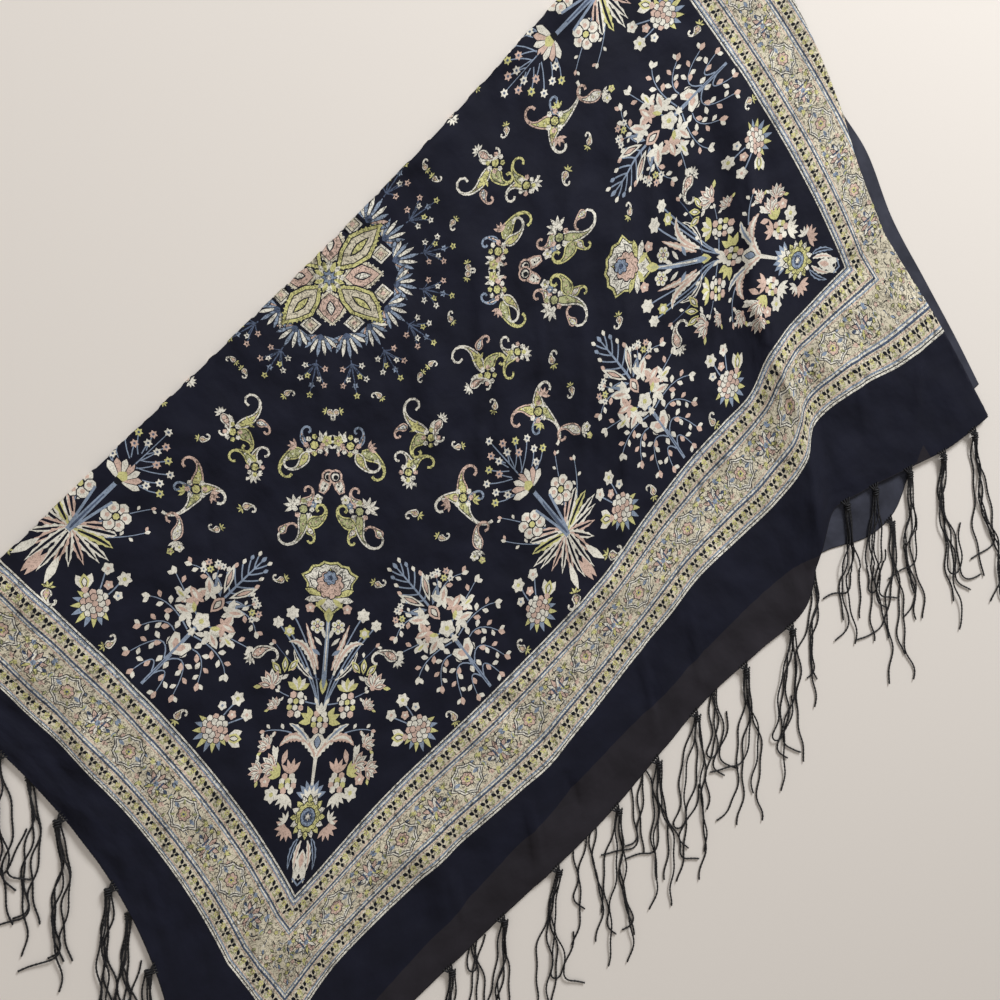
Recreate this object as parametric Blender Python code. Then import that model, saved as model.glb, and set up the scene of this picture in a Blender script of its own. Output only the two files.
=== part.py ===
# Square scarf with knotted cord tassels, folded once side on side and laid flat on a table.
# Metres, +Z up. X runs along the fold, Y runs from the long hem up to the fold.
# Places on the flat cloth are "along" the fold and "down" from it, both from the middle of the
# printed medallion; the tables say where those places lie on the table top.
from collections import namedtuple
from math import cos, pi, radians, sin

import bmesh
import bpy
from mathutils import Vector

MM = 0.001

# Sizes of the flat cloth, from the middle of its medallion
HALF_SIDE = 0.500
PANEL_HALF = 0.352
BORDER_HALF = 0.427
FOLD_UP = 0.017
LEFT_HEM = -HALF_SIDE

# Thicknesses and heights
CLOTH = 1.2 * MM
SEAM_GAP = 0.3 * MM
TUCKED_LAYERS = 2.4 * MM
FOLD_HEIGHT = 5.0 * MM
FOLD_TAIL = 6 * MM
FOLD_CROWN_WIDTH = 22 * MM
HEM_LIFT = 1.5 * MM
HEM_LIFT_WIDTH = 30 * MM
LONG_HEM_LIFT_START = 78 * MM
LEFT_HEM_LIFT_START = 60 * MM
LIP_DROP = 2.2 * MM
LIP_WIDTH = 3 * MM
TUCK_RAMP = 24 * MM
TUCK_MARGIN = 16 * MM
TUCK_INSET = 4.5 * MM
TUCK_START = -0.003
TUCK_END = 0.455
TUCK_EDGE = ((0.0, 0.0), (0.6 * MM, 0.25), (0.6 * MM, 0.75), (0.0, 1.0))

# Cords
CORD = 1.9 * MM
FLOOR_GAP = 0.4 * MM
STRIP_WIDTH = 2.5 * MM
STRIP_HEIGHT = 1.2 * MM
KNOT_LENGTH = 8 * MM
KNOT_SPREAD = 1.4
KNOT_HEIGHT = 3.6 * MM
ROOT_WIDTH = 1.7 * MM
RING_SPACE = 2 * MM
CORD_FALL = 24 * MM
HEM_CLEARANCE = 30 * MM
CORD_STEPS = 5
LENGTH_STEP = 0.09
CORD_LEAN = radians(226)
CORD_FAN = radians(1.0)
CORD_WAVE = radians(5)
CORD_WAVE_LENGTH = 0.15
CORD_WAVE_SHIFT = 11
KNOT_STAND_OFF = 3 * MM

# How the upper layer lies: a row for each place along the fold.
# fold_x and inner_x: X at the fold and at the border's inner line
# fold_y, inner_y, outer_y and hem_y: Y of the fold, the border's two lines and the long hem
Station = namedtuple("Station", "along fold_x inner_x fold_y inner_y outer_y hem_y")
STATIONS = (
    (-0.500, -0.437, -0.508, -0.006, -0.350, -0.434, -0.510),
    (-0.427, -0.404, -0.449, -0.004, -0.354, -0.434, -0.503),
    (-0.352, -0.337, -0.377, -0.002, -0.356, -0.422, -0.497),
    (-0.250, -0.237, -0.268, 0.001, -0.350, -0.425, -0.502),
    (-0.130, -0.127, -0.145, 0.004, -0.353, -0.434, -0.509),
    (0.000, -0.008, -0.012, 0.008, -0.350, -0.420, -0.500),
    (0.070, 0.068, 0.060, 0.012, -0.338, -0.412, -0.505),
    (0.130, 0.134, 0.121, 0.017, -0.330, -0.414, -0.509),
    (0.175, 0.184, 0.166, 0.021, -0.328, -0.415, -0.482),
    (0.212, 0.225, 0.204, 0.025, -0.326, -0.404, -0.461),
    (0.246, 0.263, 0.239, 0.029, -0.309, -0.388, -0.468),
    (0.305, 0.329, 0.299, 0.033, -0.305, -0.394, -0.487),
    (0.352, 0.381, 0.347, 0.035, -0.304, -0.408, -0.502),
    (0.440, 0.472, 0.436, 0.036, -0.306, -0.418, -0.512),
)

# Where the upper layer's right side is turned under: down the cloth, and how far along it folds
Turn = namedtuple("Turn", "down along")
TURNS = (
    (-0.017, 0.440),
    (0.090, 0.433),
    (0.170, 0.424),
    (0.235, 0.414),
    (0.290, 0.404),
    (0.360, 0.402),
    (0.430, 0.403),
    (0.500, 0.399),
)

# Large folds in the upper layer, each a rounded ridge on a straight line on the table
Ridge = namedtuple("Ridge", "from_x from_y to_x to_y half_width height")
RIDGES = (
    (0.372, -0.100, 0.245, -0.290, 0.026, 0.0085),
    (0.275, -0.255, 0.150, -0.490, 0.030, 0.0115),
    (0.330, -0.070, 0.170, -0.300, 0.024, 0.0040),
    (0.270, -0.060, 0.060, -0.300, 0.024, 0.0050),
    (0.190, -0.100, 0.015, -0.320, 0.022, 0.0035),
    (0.125, -0.020, -0.040, -0.300, 0.024, 0.0040),
    (0.030, -0.060, -0.110, -0.290, 0.022, 0.0030),
    (0.045, -0.400, -0.075, -0.500, 0.022, 0.0045),
    (-0.120, -0.410, -0.235, -0.505, 0.024, 0.0050),
    (-0.255, -0.400, -0.330, -0.500, 0.022, 0.0045),
    (-0.130, -0.140, -0.300, -0.330, 0.024, 0.0030),
    (-0.330, -0.060, -0.450, -0.220, 0.024, 0.0040),
    (-0.300, 0.010, -0.420, -0.120, 0.022, 0.0040),
)

# The under layer's hem and right side, where they lie past or short of the upper layer's
HemPlace = namedtuple("HemPlace", "x y")
UNDER_HEM = (
    (-0.540, -0.478),
    (-0.300, -0.468),
    (0.000, -0.465),
    (0.120, -0.470),
    (0.167, -0.486),
    (0.205, -0.506),
    (0.240, -0.508),
    (0.275, -0.492),
    (0.310, -0.478),
    (0.400, -0.480),
)
SidePlace = namedtuple("SidePlace", "share_down x")
UNDER_SIDE = (
    (0.00, 0.470),
    (0.20, 0.465),
    (0.30, 0.452),
    (0.43, 0.436),
    (0.53, 0.432),
    (0.65, 0.414),
    (0.78, 0.404),
    (0.90, 0.395),
    (1.00, 0.386),
)
UNDER_LEFT_INSET = 8 * MM

# Tassels: where each is tied, how far it swings from the common lean, its reach and its cords
Tassel = namedtuple("Tassel", "place swing reach cords")
UPPER_LONG_TASSELS = (
    (-0.466, -3, 0.150, 4),
    (-0.408, 2, 0.142, 4),
    (-0.350, -2, 0.152, 4),
    (-0.292, 3, 0.138, 4),
    (-0.238, 0, 0.150, 4),
    (-0.180, -3, 0.158, 4),
    (-0.112, 2, 0.140, 4),
    (-0.062, 3, 0.146, 4),
    (-0.012, -2, 0.150, 4),
    (0.050, 2, 0.156, 4),
    (0.108, -1, 0.148, 4),
    (0.230, 7, 0.140, 4),
    (0.262, 6, 0.138, 4),
    (0.300, 8, 0.150, 4),
    (0.338, 11, 0.165, 4),
    (0.376, 15, 0.180, 4),
)
UNDER_LONG_TASSELS = (
    (-0.456, 0, 0.150, 3),
    (-0.272, 0, 0.140, 3),
    (-0.133, 0, 0.150, 3),
    (-0.070, 2, 0.155, 3),
    (0.030, 0, 0.150, 3),
    (0.150, 1, 0.145, 3),
    (0.232, 6, 0.150, 3),
)
UPPER_LEFT_TASSELS = (
    (0.020, 1, 0.130, 4),
    (0.090, 0, 0.142, 4),
    (0.162, 1, 0.135, 4),
    (0.235, 0, 0.148, 4),
    (0.312, 0, 0.140, 4),
    (0.378, 0, 0.150, 4),
    (0.440, 0, 0.146, 4),
)
UNDER_LEFT_TASSELS = (
    (0.130, 0, 0.140, 3),
    (0.276, 0, 0.145, 3),
    (0.424, 0, 0.140, 3),
)

# Mesh fineness
UPPER_COLUMNS = 46
UPPER_ROWS = 25
LIP_SHARES = (0.9965, 0.9984, 0.9995, 1.0)
ROLL_STEPS = 5
UNDER_COLUMNS = 26
UNDER_ROWS = 10
TUCK_ROWS = 16

NAVY = (0.011, 0.012, 0.024)
SHEER_NAVY = (0.028, 0.027, 0.034)
CORD_BLACK = (0.006, 0.006, 0.008)


def clear_scene():
    for thing in list(bpy.data.objects):
        bpy.data.objects.remove(thing)


def column(table, row_type, name):
    return [getattr(row_type(*row), name) for row in table]


def smooth_through(keys, values, key):
    """Value on a smooth curve through the table's points, level past its ends."""
    if key <= keys[0]:
        return values[0]
    if key >= keys[-1]:
        return values[-1]
    i = max(n for n in range(len(keys) - 1) if keys[n] <= key)

    def slope(n):
        low = max(n - 1, 0)
        high = min(n + 1, len(keys) - 1)
        return (values[high] - values[low]) / (keys[high] - keys[low])

    span = keys[i + 1] - keys[i]
    u = (key - keys[i]) / span
    start = (1 + 2 * u) * (1 - u) ** 2 * values[i] + u * (1 - u) ** 2 * span * slope(i)
    end = u * u * (3 - 2 * u) * values[i + 1] - u * u * (1 - u) * span * slope(i + 1)
    return start + end


def soft_step(u):
    u = min(max(u, 0.0), 1.0)
    return u * u * (3 - 2 * u)


def station(name, along):
    return smooth_through(column(STATIONS, Station, "along"), column(STATIONS, Station, name), along)


def turn_along(down):
    return smooth_through(column(TURNS, Turn, "down"), column(TURNS, Turn, "along"), down)


def place_x(along, down):
    """The weave leans a little: lines that are square to the fold drift left on their way down."""
    share = max(down + FOLD_UP, 0.0) / (PANEL_HALF + FOLD_UP)
    lean = share ** 3 if share < 1 else 1 + 1.5 * (share - 1)
    fold_x = station("fold_x", along)
    return fold_x + (station("inner_x", along) - fold_x) * lean


def place_y(along, down):
    downs = (-FOLD_UP, PANEL_HALF, BORDER_HALF, HALF_SIDE)
    names = ("fold_y", "inner_y", "outer_y", "hem_y")
    for low, high, first, second in zip(downs, downs[1:], names, names[1:]):
        if down <= high or high == HALF_SIDE:
            share = (down - low) / (high - low)
            return station(first, along) * (1 - share) + station(second, along) * share


def ridge_height(x, y):
    """Height of the large folds at a point of the table."""
    total = 0.0
    for ridge in (Ridge(*row) for row in RIDGES):
        start = Vector((ridge.from_x, ridge.from_y))
        run = Vector((ridge.to_x, ridge.to_y)) - start
        offset = Vector((x, y)) - start
        share = offset.dot(run) / run.length_squared
        if not 0 < share < 1:
            continue
        aside = abs(offset.cross(run)) / run.length
        if aside < ridge.half_width:
            across = 0.5 + 0.5 * cos(pi * aside / ridge.half_width)
            total += ridge.height * across * sin(pi * share) ** 0.7
    return total


def upper_top(along, down):
    """Height of the upper layer's top face."""
    x = place_x(along, down)
    y = place_y(along, down)
    lying = 2 * CLOTH + SEAM_GAP
    hem = soft_step((down - HALF_SIDE + LONG_HEM_LIFT_START) / HEM_LIFT_WIDTH)
    left = soft_step((LEFT_HEM + LEFT_HEM_LIFT_START - along) / HEM_LIFT_WIDTH)
    tuck_width = HALF_SIDE - turn_along(down)
    from_turn = turn_along(down) - along
    tuck = 1 - soft_step((from_turn - tuck_width - TUCK_MARGIN) / TUCK_RAMP)
    lift = max(HEM_LIFT * max(hem, left), (TUCKED_LAYERS + SEAM_GAP) * tuck)
    height = lying + lift + ridge_height(x, y)
    crown = 1 - soft_step((down + FOLD_UP) / FOLD_CROWN_WIDTH)
    return height + max(FOLD_HEIGHT - height, 0) * crown


def fold_radius(along):
    return upper_top(along, -FOLD_UP) / 2


def lip_drop(along, down):
    """The right side is rolled over: its edge dips to the tucked layers."""
    edge = 1 - min(max((turn_along(down) - along) / LIP_WIDTH, 0.0), 1.0)
    return LIP_DROP * (1 - (1 - edge ** 2) ** 0.5) * soft_step((down + FOLD_UP) / FOLD_CROWN_WIDTH)


def upper_point(across, row):
    """Point of the upper layer's outer face. Rows below zero run round the fold to its tail."""
    down = max(row, 0) / UPPER_ROWS * (HALF_SIDE + FOLD_UP) - FOLD_UP
    along = LEFT_HEM + across * (turn_along(down) - LEFT_HEM)
    x = place_x(along, down)
    if row >= 0:
        return Vector((x, place_y(along, down), upper_top(along, down) - lip_drop(along, down)))
    radius = fold_radius(along)
    fold_y = place_y(along, -FOLD_UP)
    if row < -ROLL_STEPS:
        return Vector((x, fold_y - FOLD_TAIL, 0))
    angle = pi / 2 + pi * row / ROLL_STEPS
    return Vector((x, fold_y + radius * cos(angle), radius + radius * sin(angle)))


def give_material(thing, name, colour, roughness):
    material = bpy.data.materials.new(name)
    material.use_nodes = True
    shader = material.node_tree.nodes["Principled BSDF"]
    shader.inputs["Base Color"].default_value = (*colour, 1)
    shader.inputs["Roughness"].default_value = roughness
    shader.inputs["Metallic"].default_value = 0
    thing.data.materials.append(material)


def add_object(name, mesh_maker, colour, roughness):
    shape = bmesh.new()
    mesh_maker(shape)
    mesh = bpy.data.meshes.new(name)
    shape.to_mesh(mesh)
    shape.free()
    mesh.shade_smooth()
    mesh.set_sharp_from_angle(angle=radians(40))
    thing = bpy.data.objects.new(name, mesh)
    bpy.context.scene.collection.objects.link(thing)
    give_material(thing, name + "_finish", colour, roughness)
    return thing


def thicken(thing):
    """Gives a cloth surface its wall on the inner side."""
    wall = thing.modifiers.new("wall", "SOLIDIFY")
    wall.thickness = CLOTH
    wall.offset = -1
    wall.use_even_offset = True


def grid_sheet(shape, columns, rows, point):
    """A grid whose point at each column and row is given by a function, facing up."""
    bmesh.ops.create_grid(shape, x_segments=columns, y_segments=rows, size=0.5)
    for vertex in shape.verts:
        i = round((vertex.co.x + 0.5) * columns)
        j = round((0.5 - vertex.co.y) * rows)
        vertex.co = point(i, j)


def column_share(i):
    """How far across the upper layer a column stands; the last few crowd into the rolled side."""
    if i <= UPPER_COLUMNS:
        return i / UPPER_COLUMNS * LIP_SHARES[0]
    return LIP_SHARES[i - UPPER_COLUMNS]


def upper_sheet(shape):
    def point(i, j):
        return upper_point(column_share(i), j - ROLL_STEPS - 1)

    grid_sheet(shape, UPPER_COLUMNS + 3, UPPER_ROWS + ROLL_STEPS + 1, point)


def under_left(share_down):
    return place_x(LEFT_HEM, share_down * HALF_SIDE) + UNDER_LEFT_INSET


def under_right(share_down):
    shares = column(UNDER_SIDE, SidePlace, "share_down")
    return smooth_through(shares, column(UNDER_SIDE, SidePlace, "x"), share_down)


def under_hem_y(x):
    return smooth_through(column(UNDER_HEM, HemPlace, "x"), column(UNDER_HEM, HemPlace, "y"), x)


def fold_y_at(x):
    """Y of the fold above a point of the table."""
    return smooth_through(column(STATIONS, Station, "fold_x"), column(STATIONS, Station, "fold_y"), x)


def under_point(across, share_down):
    x = under_left(share_down) * (1 - across) + under_right(share_down) * across
    top_y = fold_y_at(x) - FOLD_TAIL - 2 * SEAM_GAP
    return Vector((x, top_y * (1 - share_down) + under_hem_y(x) * share_down, CLOTH))


def under_sheet(shape):
    def point(i, j):
        return under_point(i / UNDER_COLUMNS, j / UNDER_ROWS)

    grid_sheet(shape, UNDER_COLUMNS, UNDER_ROWS, point)


def tucked_block(shape):
    """The turned-in side: a flat strip with a round outer edge, lying on the under layer."""
    low = CLOTH + SEAM_GAP
    rings = []
    for k in range(TUCK_ROWS + 1):
        down = TUCK_START + (TUCK_END - TUCK_START) * k / TUCK_ROWS
        turn = turn_along(down)
        outer = place_x(turn, down) - TUCK_INSET
        inner = place_x(2 * turn - HALF_SIDE, down)
        y_outer = place_y(turn, down)
        y_inner = place_y(2 * turn - HALF_SIDE, down)
        ring = [shape.verts.new((outer + out, y_outer, low + up * TUCKED_LAYERS)) for out, up in TUCK_EDGE]
        ring.append(shape.verts.new((inner, y_inner, low + TUCKED_LAYERS)))
        ring.append(shape.verts.new((inner, y_inner, low)))
        rings.append(ring)
    for ring, following in zip(rings, rings[1:]):
        for k in range(len(ring)):
            n = (k + 1) % len(ring)
            shape.faces.new((ring[k], ring[n], following[n], following[k]))
    shape.faces.new(rings[0])
    shape.faces.new(rings[-1])
    bmesh.ops.recalc_face_normals(shape, faces=shape.faces)


def hem_line(keys, points, lift=0.0):
    """A function that gives a point and the outward direction at any place on a hem's edge."""

    def direction(i):
        step = points[min(i + 1, len(points) - 1)] - points[i]
        return Vector((step.y, -step.x)).normalized()

    def at(place):
        i = max(n for n in range(len(keys) - 1) if keys[n] <= place or n == 0)
        share = (place - keys[i]) / (keys[i + 1] - keys[i])
        here = points[i].lerp(points[i + 1], share)
        outward = direction(i)
        if share == 0 and i > 0:
            outward = (outward + direction(i - 1)).normalized()
        return here.to_2d(), outward, here.z - CLOTH / 2 + lift

    return at


def upper_long_hem():
    shares = [column_share(i) for i in range(UPPER_COLUMNS + 4)]
    turn = turn_along(HALF_SIDE)
    keys = [LEFT_HEM + share * (turn - LEFT_HEM) for share in shares]
    return keys, [upper_point(share, UPPER_ROWS) for share in shares]


def upper_left_hem():
    rows = range(UPPER_ROWS + 1)
    keys = [row / UPPER_ROWS * (HALF_SIDE + FOLD_UP) - FOLD_UP for row in rows]
    return keys, [upper_point(0.0, row) for row in rows]


def under_long_hem():
    points = [under_point(i / UNDER_COLUMNS, 1.0) for i in range(UNDER_COLUMNS + 1)]
    return [point.x for point in points], points


def under_left_hem():
    shares = [row / UNDER_ROWS for row in range(UNDER_ROWS + 1)]
    return [share * HALF_SIDE for share in shares], [under_point(0.0, share) for share in shares]


def strip_ring(shape, hem_point, place):
    """The four corners of the backing strip at one place of a hem."""
    here, outward, middle = hem_point(place)
    inner = here + outward * SEAM_GAP
    outer = inner + outward * STRIP_WIDTH
    low = middle - STRIP_HEIGHT / 2
    high = middle + STRIP_HEIGHT / 2
    corners = ((inner, low), (outer, low), (outer, high), (inner, high))
    return [shape.verts.new((flat.x, flat.y, z)) for flat, z in corners]


def table_height(x, y):
    """Height that a cord's middle lies at on the table."""
    return FLOOR_GAP + CORD / 2


def resting_height(x, y):
    """Height that a cord of the upper layer lies at: over the under layer's hem, or on the table."""
    if y > under_hem_y(x) - HEM_CLEARANCE and x < under_right(-y / HALF_SIDE) + HEM_CLEARANCE:
        return STRIP_HEIGHT + 2 * FLOOR_GAP + CORD / 2
    return table_height(x, y)


def cord_path(root, swing, reach, phase, rest):
    """Points of a cord that falls from its knot and lies in a slow wave on what is below it."""
    points = []
    here = root.copy()
    for k in range(1, CORD_STEPS + 1):
        distance = reach * k / CORD_STEPS
        heading = CORD_LEAN + swing + CORD_WAVE * sin(2 * pi * distance / CORD_WAVE_LENGTH + phase)
        here += Vector((cos(heading), sin(heading), 0)) * reach / CORD_STEPS
        drop = soft_step(distance / CORD_FALL)
        here.z = root.z * (1 - drop) + rest(here.x, here.y) * drop
        points.append((here.copy(), heading))
    return points


def run_cord(shape, face, path):
    """Extrudes one cord from its root face along the path."""
    for centre, heading in path:
        side = Vector((-sin(heading), cos(heading), 0)) * CORD / 2
        up = Vector((0, 0, CORD / 2))
        face = bmesh.ops.extrude_discrete_faces(shape, faces=[face])["faces"][0]
        middle = face.calc_center_median()
        for vertex in face.verts:
            offset = vertex.co - middle
            toward = 1 if offset.dot(side) > 0 else -1
            rise = 1 if offset.z > 0 else -1
            vertex.co = centre + side * toward + up * rise


def pull_knot(shape, faces, outward, swing):
    """Draws the roots of one tassel out into its knot, turned the way its cords fall.

    Returns the knot's end faces in order across it."""
    drawn = bmesh.ops.extrude_face_region(shape, geom=faces)["geom"]
    bmesh.ops.delete(shape, geom=faces, context="FACES_ONLY")
    ends = [item for item in drawn if isinstance(item, bmesh.types.BMFace)]
    corners = [item for item in drawn if isinstance(item, bmesh.types.BMVert)]
    middle = sum((vertex.co for vertex in corners), Vector()) / len(corners)
    along_hem = Vector((-outward.y, outward.x, 0))
    fall = Vector((cos(CORD_LEAN + swing), sin(CORD_LEAN + swing), 0))
    across = Vector((-fall.y, fall.x, 0))
    end = middle + outward.to_3d() * KNOT_STAND_OFF + fall * KNOT_LENGTH
    for vertex in corners:
        offset = vertex.co - middle
        height = KNOT_HEIGHT / 2 if offset.z > 0 else -KNOT_HEIGHT / 2
        vertex.co = end + across * offset.dot(along_hem) * KNOT_SPREAD
        vertex.co.z = max(middle.z + height, FLOOR_GAP)
    return sorted(ends, key=lambda face: face.calc_center_median().dot(across))


def strip_places(keys, tassels):
    """Places of the strip's rings in order, each with the number of the tassel that starts there."""
    places = [(key, None) for key in keys]
    for number, tassel in enumerate(tassels):
        half = tassel.cords * ROOT_WIDTH / 2
        places = [item for item in places if abs(item[0] - tassel.place) > half + RING_SPACE]
        for k in range(tassel.cords + 1):
            places.append((tassel.place - half + ROOT_WIDTH * k, number if k < tassel.cords else None))
    return sorted(places, key=lambda item: item[0])


def fringe(hem, lift, rows, rest):
    """A function that builds one hem's strip, its knots and their cords."""
    keys, points = hem
    hem_point = hem_line(keys, points, lift)
    tassels = [Tassel(*row) for row in rows]

    def strip(shape):
        places = strip_places(keys, tassels)
        rings = [(strip_ring(shape, hem_point, place), number) for place, number in places]
        roots = {}
        for (ring, number), (following, _) in zip(rings, rings[1:]):
            for k in range(4):
                n = (k + 1) % 4
                face = shape.faces.new((ring[k], ring[n], following[n], following[k]))
                if k == 1 and number is not None:
                    roots.setdefault(number, []).append(face)
        shape.faces.new(rings[0][0])
        shape.faces.new(rings[-1][0])
        return roots

    def build(shape):
        roots = strip(shape)
        bmesh.ops.recalc_face_normals(shape, faces=shape.faces)
        for number, faces in roots.items():
            tassel = tassels[number]
            swing = radians(tassel.swing)
            ends = pull_knot(shape, faces, hem_point(tassel.place)[1], swing)
            for k, face in enumerate(ends):
                fan = CORD_FAN * (k - (tassel.cords - 1) / 2)
                reach = tassel.reach * (1 - LENGTH_STEP * ((k * 2 + number) % 3))
                root = face.calc_center_median()
                phase = tassel.place * CORD_WAVE_SHIFT
                run_cord(shape, face, cord_path(root, swing + fan, reach, phase, rest))
        bmesh.ops.recalc_face_normals(shape, faces=shape.faces)

    return build


def stand_on_origin(things):
    """Moves everything so that the middle of the whole box's base is at the origin."""
    bpy.context.view_layer.update()
    graph = bpy.context.evaluated_depsgraph_get()
    corners = [Vector(corner) for thing in things for corner in thing.evaluated_get(graph).bound_box]
    low = Vector([min(corner[axis] for corner in corners) for axis in range(3)])
    high = Vector([max(corner[axis] for corner in corners) for axis in range(3)])
    shift = Vector((-(low.x + high.x) / 2, -(low.y + high.y) / 2, -low.z))
    for thing in things:
        for vertex in thing.data.vertices:
            vertex.co += shift


def build_scarf():
    clear_scene()
    upper = add_object("upper_layer", upper_sheet, NAVY, 0.75)
    thicken(upper)
    under = add_object("under_layer", under_sheet, SHEER_NAVY, 0.75)
    thicken(under)
    tucked = add_object("tucked_side", tucked_block, NAVY, 0.75)
    fringes = (
        ("upper_long_fringe", fringe(upper_long_hem(), 0.0, UPPER_LONG_TASSELS, resting_height)),
        ("under_long_fringe", fringe(under_long_hem(), FLOOR_GAP, UNDER_LONG_TASSELS, table_height)),
        ("upper_left_fringe", fringe(upper_left_hem(), 0.0, UPPER_LEFT_TASSELS, table_height)),
        ("under_left_fringe", fringe(under_left_hem(), FLOOR_GAP, UNDER_LEFT_TASSELS, table_height)),
    )
    cords = [add_object(name, maker, CORD_BLACK, 0.6) for name, maker in fringes]
    stand_on_origin([upper, under, tucked, *cords])


build_scarf()
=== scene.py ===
# Printed square scarf with knotted cord tassels, folded once side on side and laid flat.
# Metres, +Z up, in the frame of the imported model. Places on the flat cloth are "along" the fold and
# "down" from it, both from the middle of the printed medallion. The print is drawn in millimetres.
from collections import namedtuple
from math import atan2, cos, hypot, pi, radians, sin

import bmesh
import bpy
import numpy as np
from mathutils import Matrix, Vector, noise
from mathutils.geometry import convex_hull_2d, delaunay_2d_cdt


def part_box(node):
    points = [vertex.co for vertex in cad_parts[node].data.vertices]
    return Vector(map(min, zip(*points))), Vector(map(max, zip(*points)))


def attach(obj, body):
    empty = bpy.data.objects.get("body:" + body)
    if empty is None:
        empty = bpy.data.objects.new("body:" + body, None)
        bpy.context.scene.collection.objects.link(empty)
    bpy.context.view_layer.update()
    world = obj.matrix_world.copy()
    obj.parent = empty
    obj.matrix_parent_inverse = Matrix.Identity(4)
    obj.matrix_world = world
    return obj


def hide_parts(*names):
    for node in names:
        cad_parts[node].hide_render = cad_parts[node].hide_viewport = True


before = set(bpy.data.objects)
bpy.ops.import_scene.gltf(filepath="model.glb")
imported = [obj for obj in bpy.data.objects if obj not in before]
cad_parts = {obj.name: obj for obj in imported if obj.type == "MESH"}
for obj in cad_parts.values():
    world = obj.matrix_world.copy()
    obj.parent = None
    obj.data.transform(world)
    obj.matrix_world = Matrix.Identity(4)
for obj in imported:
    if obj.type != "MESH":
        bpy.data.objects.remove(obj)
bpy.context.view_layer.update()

# How the scarf lies: the cloth is one square, folded near its middle and spread by hand, so its
# weave drifts and leans. These sizes and tables repeat the model's, and are in metres.
MM = 0.001
HALF_SIDE = 0.500
PANEL_HALF = 0.352
BORDER_HALF = 0.427
FOLD_UP = 0.017
LEFT_HEM = -HALF_SIDE
CLOTH = 1.2 * MM
SEAM_GAP = 0.3 * MM
TUCKED_LAYERS = 2.4 * MM
FOLD_HEIGHT = 5.0 * MM
FOLD_TAIL = 6 * MM
FOLD_CROWN_WIDTH = 22 * MM
HEM_LIFT = 1.5 * MM
HEM_LIFT_WIDTH = 30 * MM
LONG_HEM_LIFT_START = 78 * MM
LEFT_HEM_LIFT_START = 60 * MM
LIP_DROP = 2.2 * MM
LIP_WIDTH = 3 * MM
TUCK_RAMP = 24 * MM
TUCK_MARGIN = 16 * MM
UNDER_LEFT_INSET = 8 * MM

Station = namedtuple("Station", "along fold_x inner_x fold_y inner_y outer_y hem_y")
STATIONS = [Station(*row) for row in (
    (-0.500, -0.437, -0.508, -0.006, -0.350, -0.434, -0.510),
    (-0.427, -0.404, -0.449, -0.004, -0.354, -0.434, -0.503),
    (-0.352, -0.337, -0.377, -0.002, -0.356, -0.422, -0.497),
    (-0.250, -0.237, -0.268, 0.001, -0.350, -0.425, -0.502),
    (-0.130, -0.127, -0.145, 0.004, -0.353, -0.434, -0.509),
    (0.000, -0.008, -0.012, 0.008, -0.350, -0.420, -0.500),
    (0.070, 0.068, 0.060, 0.012, -0.338, -0.412, -0.505),
    (0.130, 0.134, 0.121, 0.017, -0.330, -0.414, -0.509),
    (0.175, 0.184, 0.166, 0.021, -0.328, -0.415, -0.482),
    (0.212, 0.225, 0.204, 0.025, -0.326, -0.404, -0.461),
    (0.246, 0.263, 0.239, 0.029, -0.309, -0.388, -0.468),
    (0.305, 0.329, 0.299, 0.033, -0.305, -0.394, -0.487),
    (0.352, 0.381, 0.347, 0.035, -0.304, -0.408, -0.502),
    (0.440, 0.472, 0.436, 0.036, -0.306, -0.418, -0.512),
)]
Turn = namedtuple("Turn", "down along")
TURNS = [Turn(*row) for row in (
    (-0.017, 0.440),
    (0.090, 0.433),
    (0.170, 0.424),
    (0.235, 0.414),
    (0.290, 0.404),
    (0.360, 0.402),
    (0.430, 0.403),
    (0.500, 0.399),
)]
HemPlace = namedtuple("HemPlace", "x y")
UNDER_HEM = [HemPlace(*row) for row in (
    (-0.540, -0.478),
    (-0.300, -0.468),
    (0.000, -0.465),
    (0.120, -0.470),
    (0.167, -0.486),
    (0.205, -0.506),
    (0.240, -0.508),
    (0.275, -0.492),
    (0.310, -0.478),
    (0.400, -0.480),
)]
SidePlace = namedtuple("SidePlace", "share_down x")
UNDER_SIDE = [SidePlace(*row) for row in (
    (0.00, 0.470),
    (0.20, 0.465),
    (0.30, 0.452),
    (0.43, 0.436),
    (0.53, 0.432),
    (0.65, 0.414),
    (0.78, 0.404),
    (0.90, 0.395),
    (1.00, 0.386),
)]
# Large folds and fine creases: soft ridges, and troughs where the height is below zero
Crease = namedtuple("Crease", "from_x from_y to_x to_y half_width height")
LARGE_FOLDS = [Crease(*row) for row in (
    (0.372, -0.100, 0.245, -0.290, 0.026, 0.0085),
    (0.275, -0.255, 0.150, -0.490, 0.030, 0.0115),
    (0.330, -0.070, 0.170, -0.300, 0.024, 0.0040),
    (0.270, -0.060, 0.060, -0.300, 0.024, 0.0050),
    (0.190, -0.100, 0.015, -0.320, 0.022, 0.0035),
    (0.125, -0.020, -0.040, -0.300, 0.024, 0.0040),
    (0.030, -0.060, -0.110, -0.290, 0.022, 0.0030),
    (0.045, -0.400, -0.075, -0.500, 0.022, 0.0045),
    (-0.120, -0.410, -0.235, -0.505, 0.024, 0.0050),
    (-0.255, -0.400, -0.330, -0.500, 0.022, 0.0045),
    (-0.130, -0.140, -0.300, -0.330, 0.024, 0.0030),
    (-0.330, -0.060, -0.450, -0.220, 0.024, 0.0040),
    (-0.300, 0.010, -0.420, -0.120, 0.022, 0.0040),
)]
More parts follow.
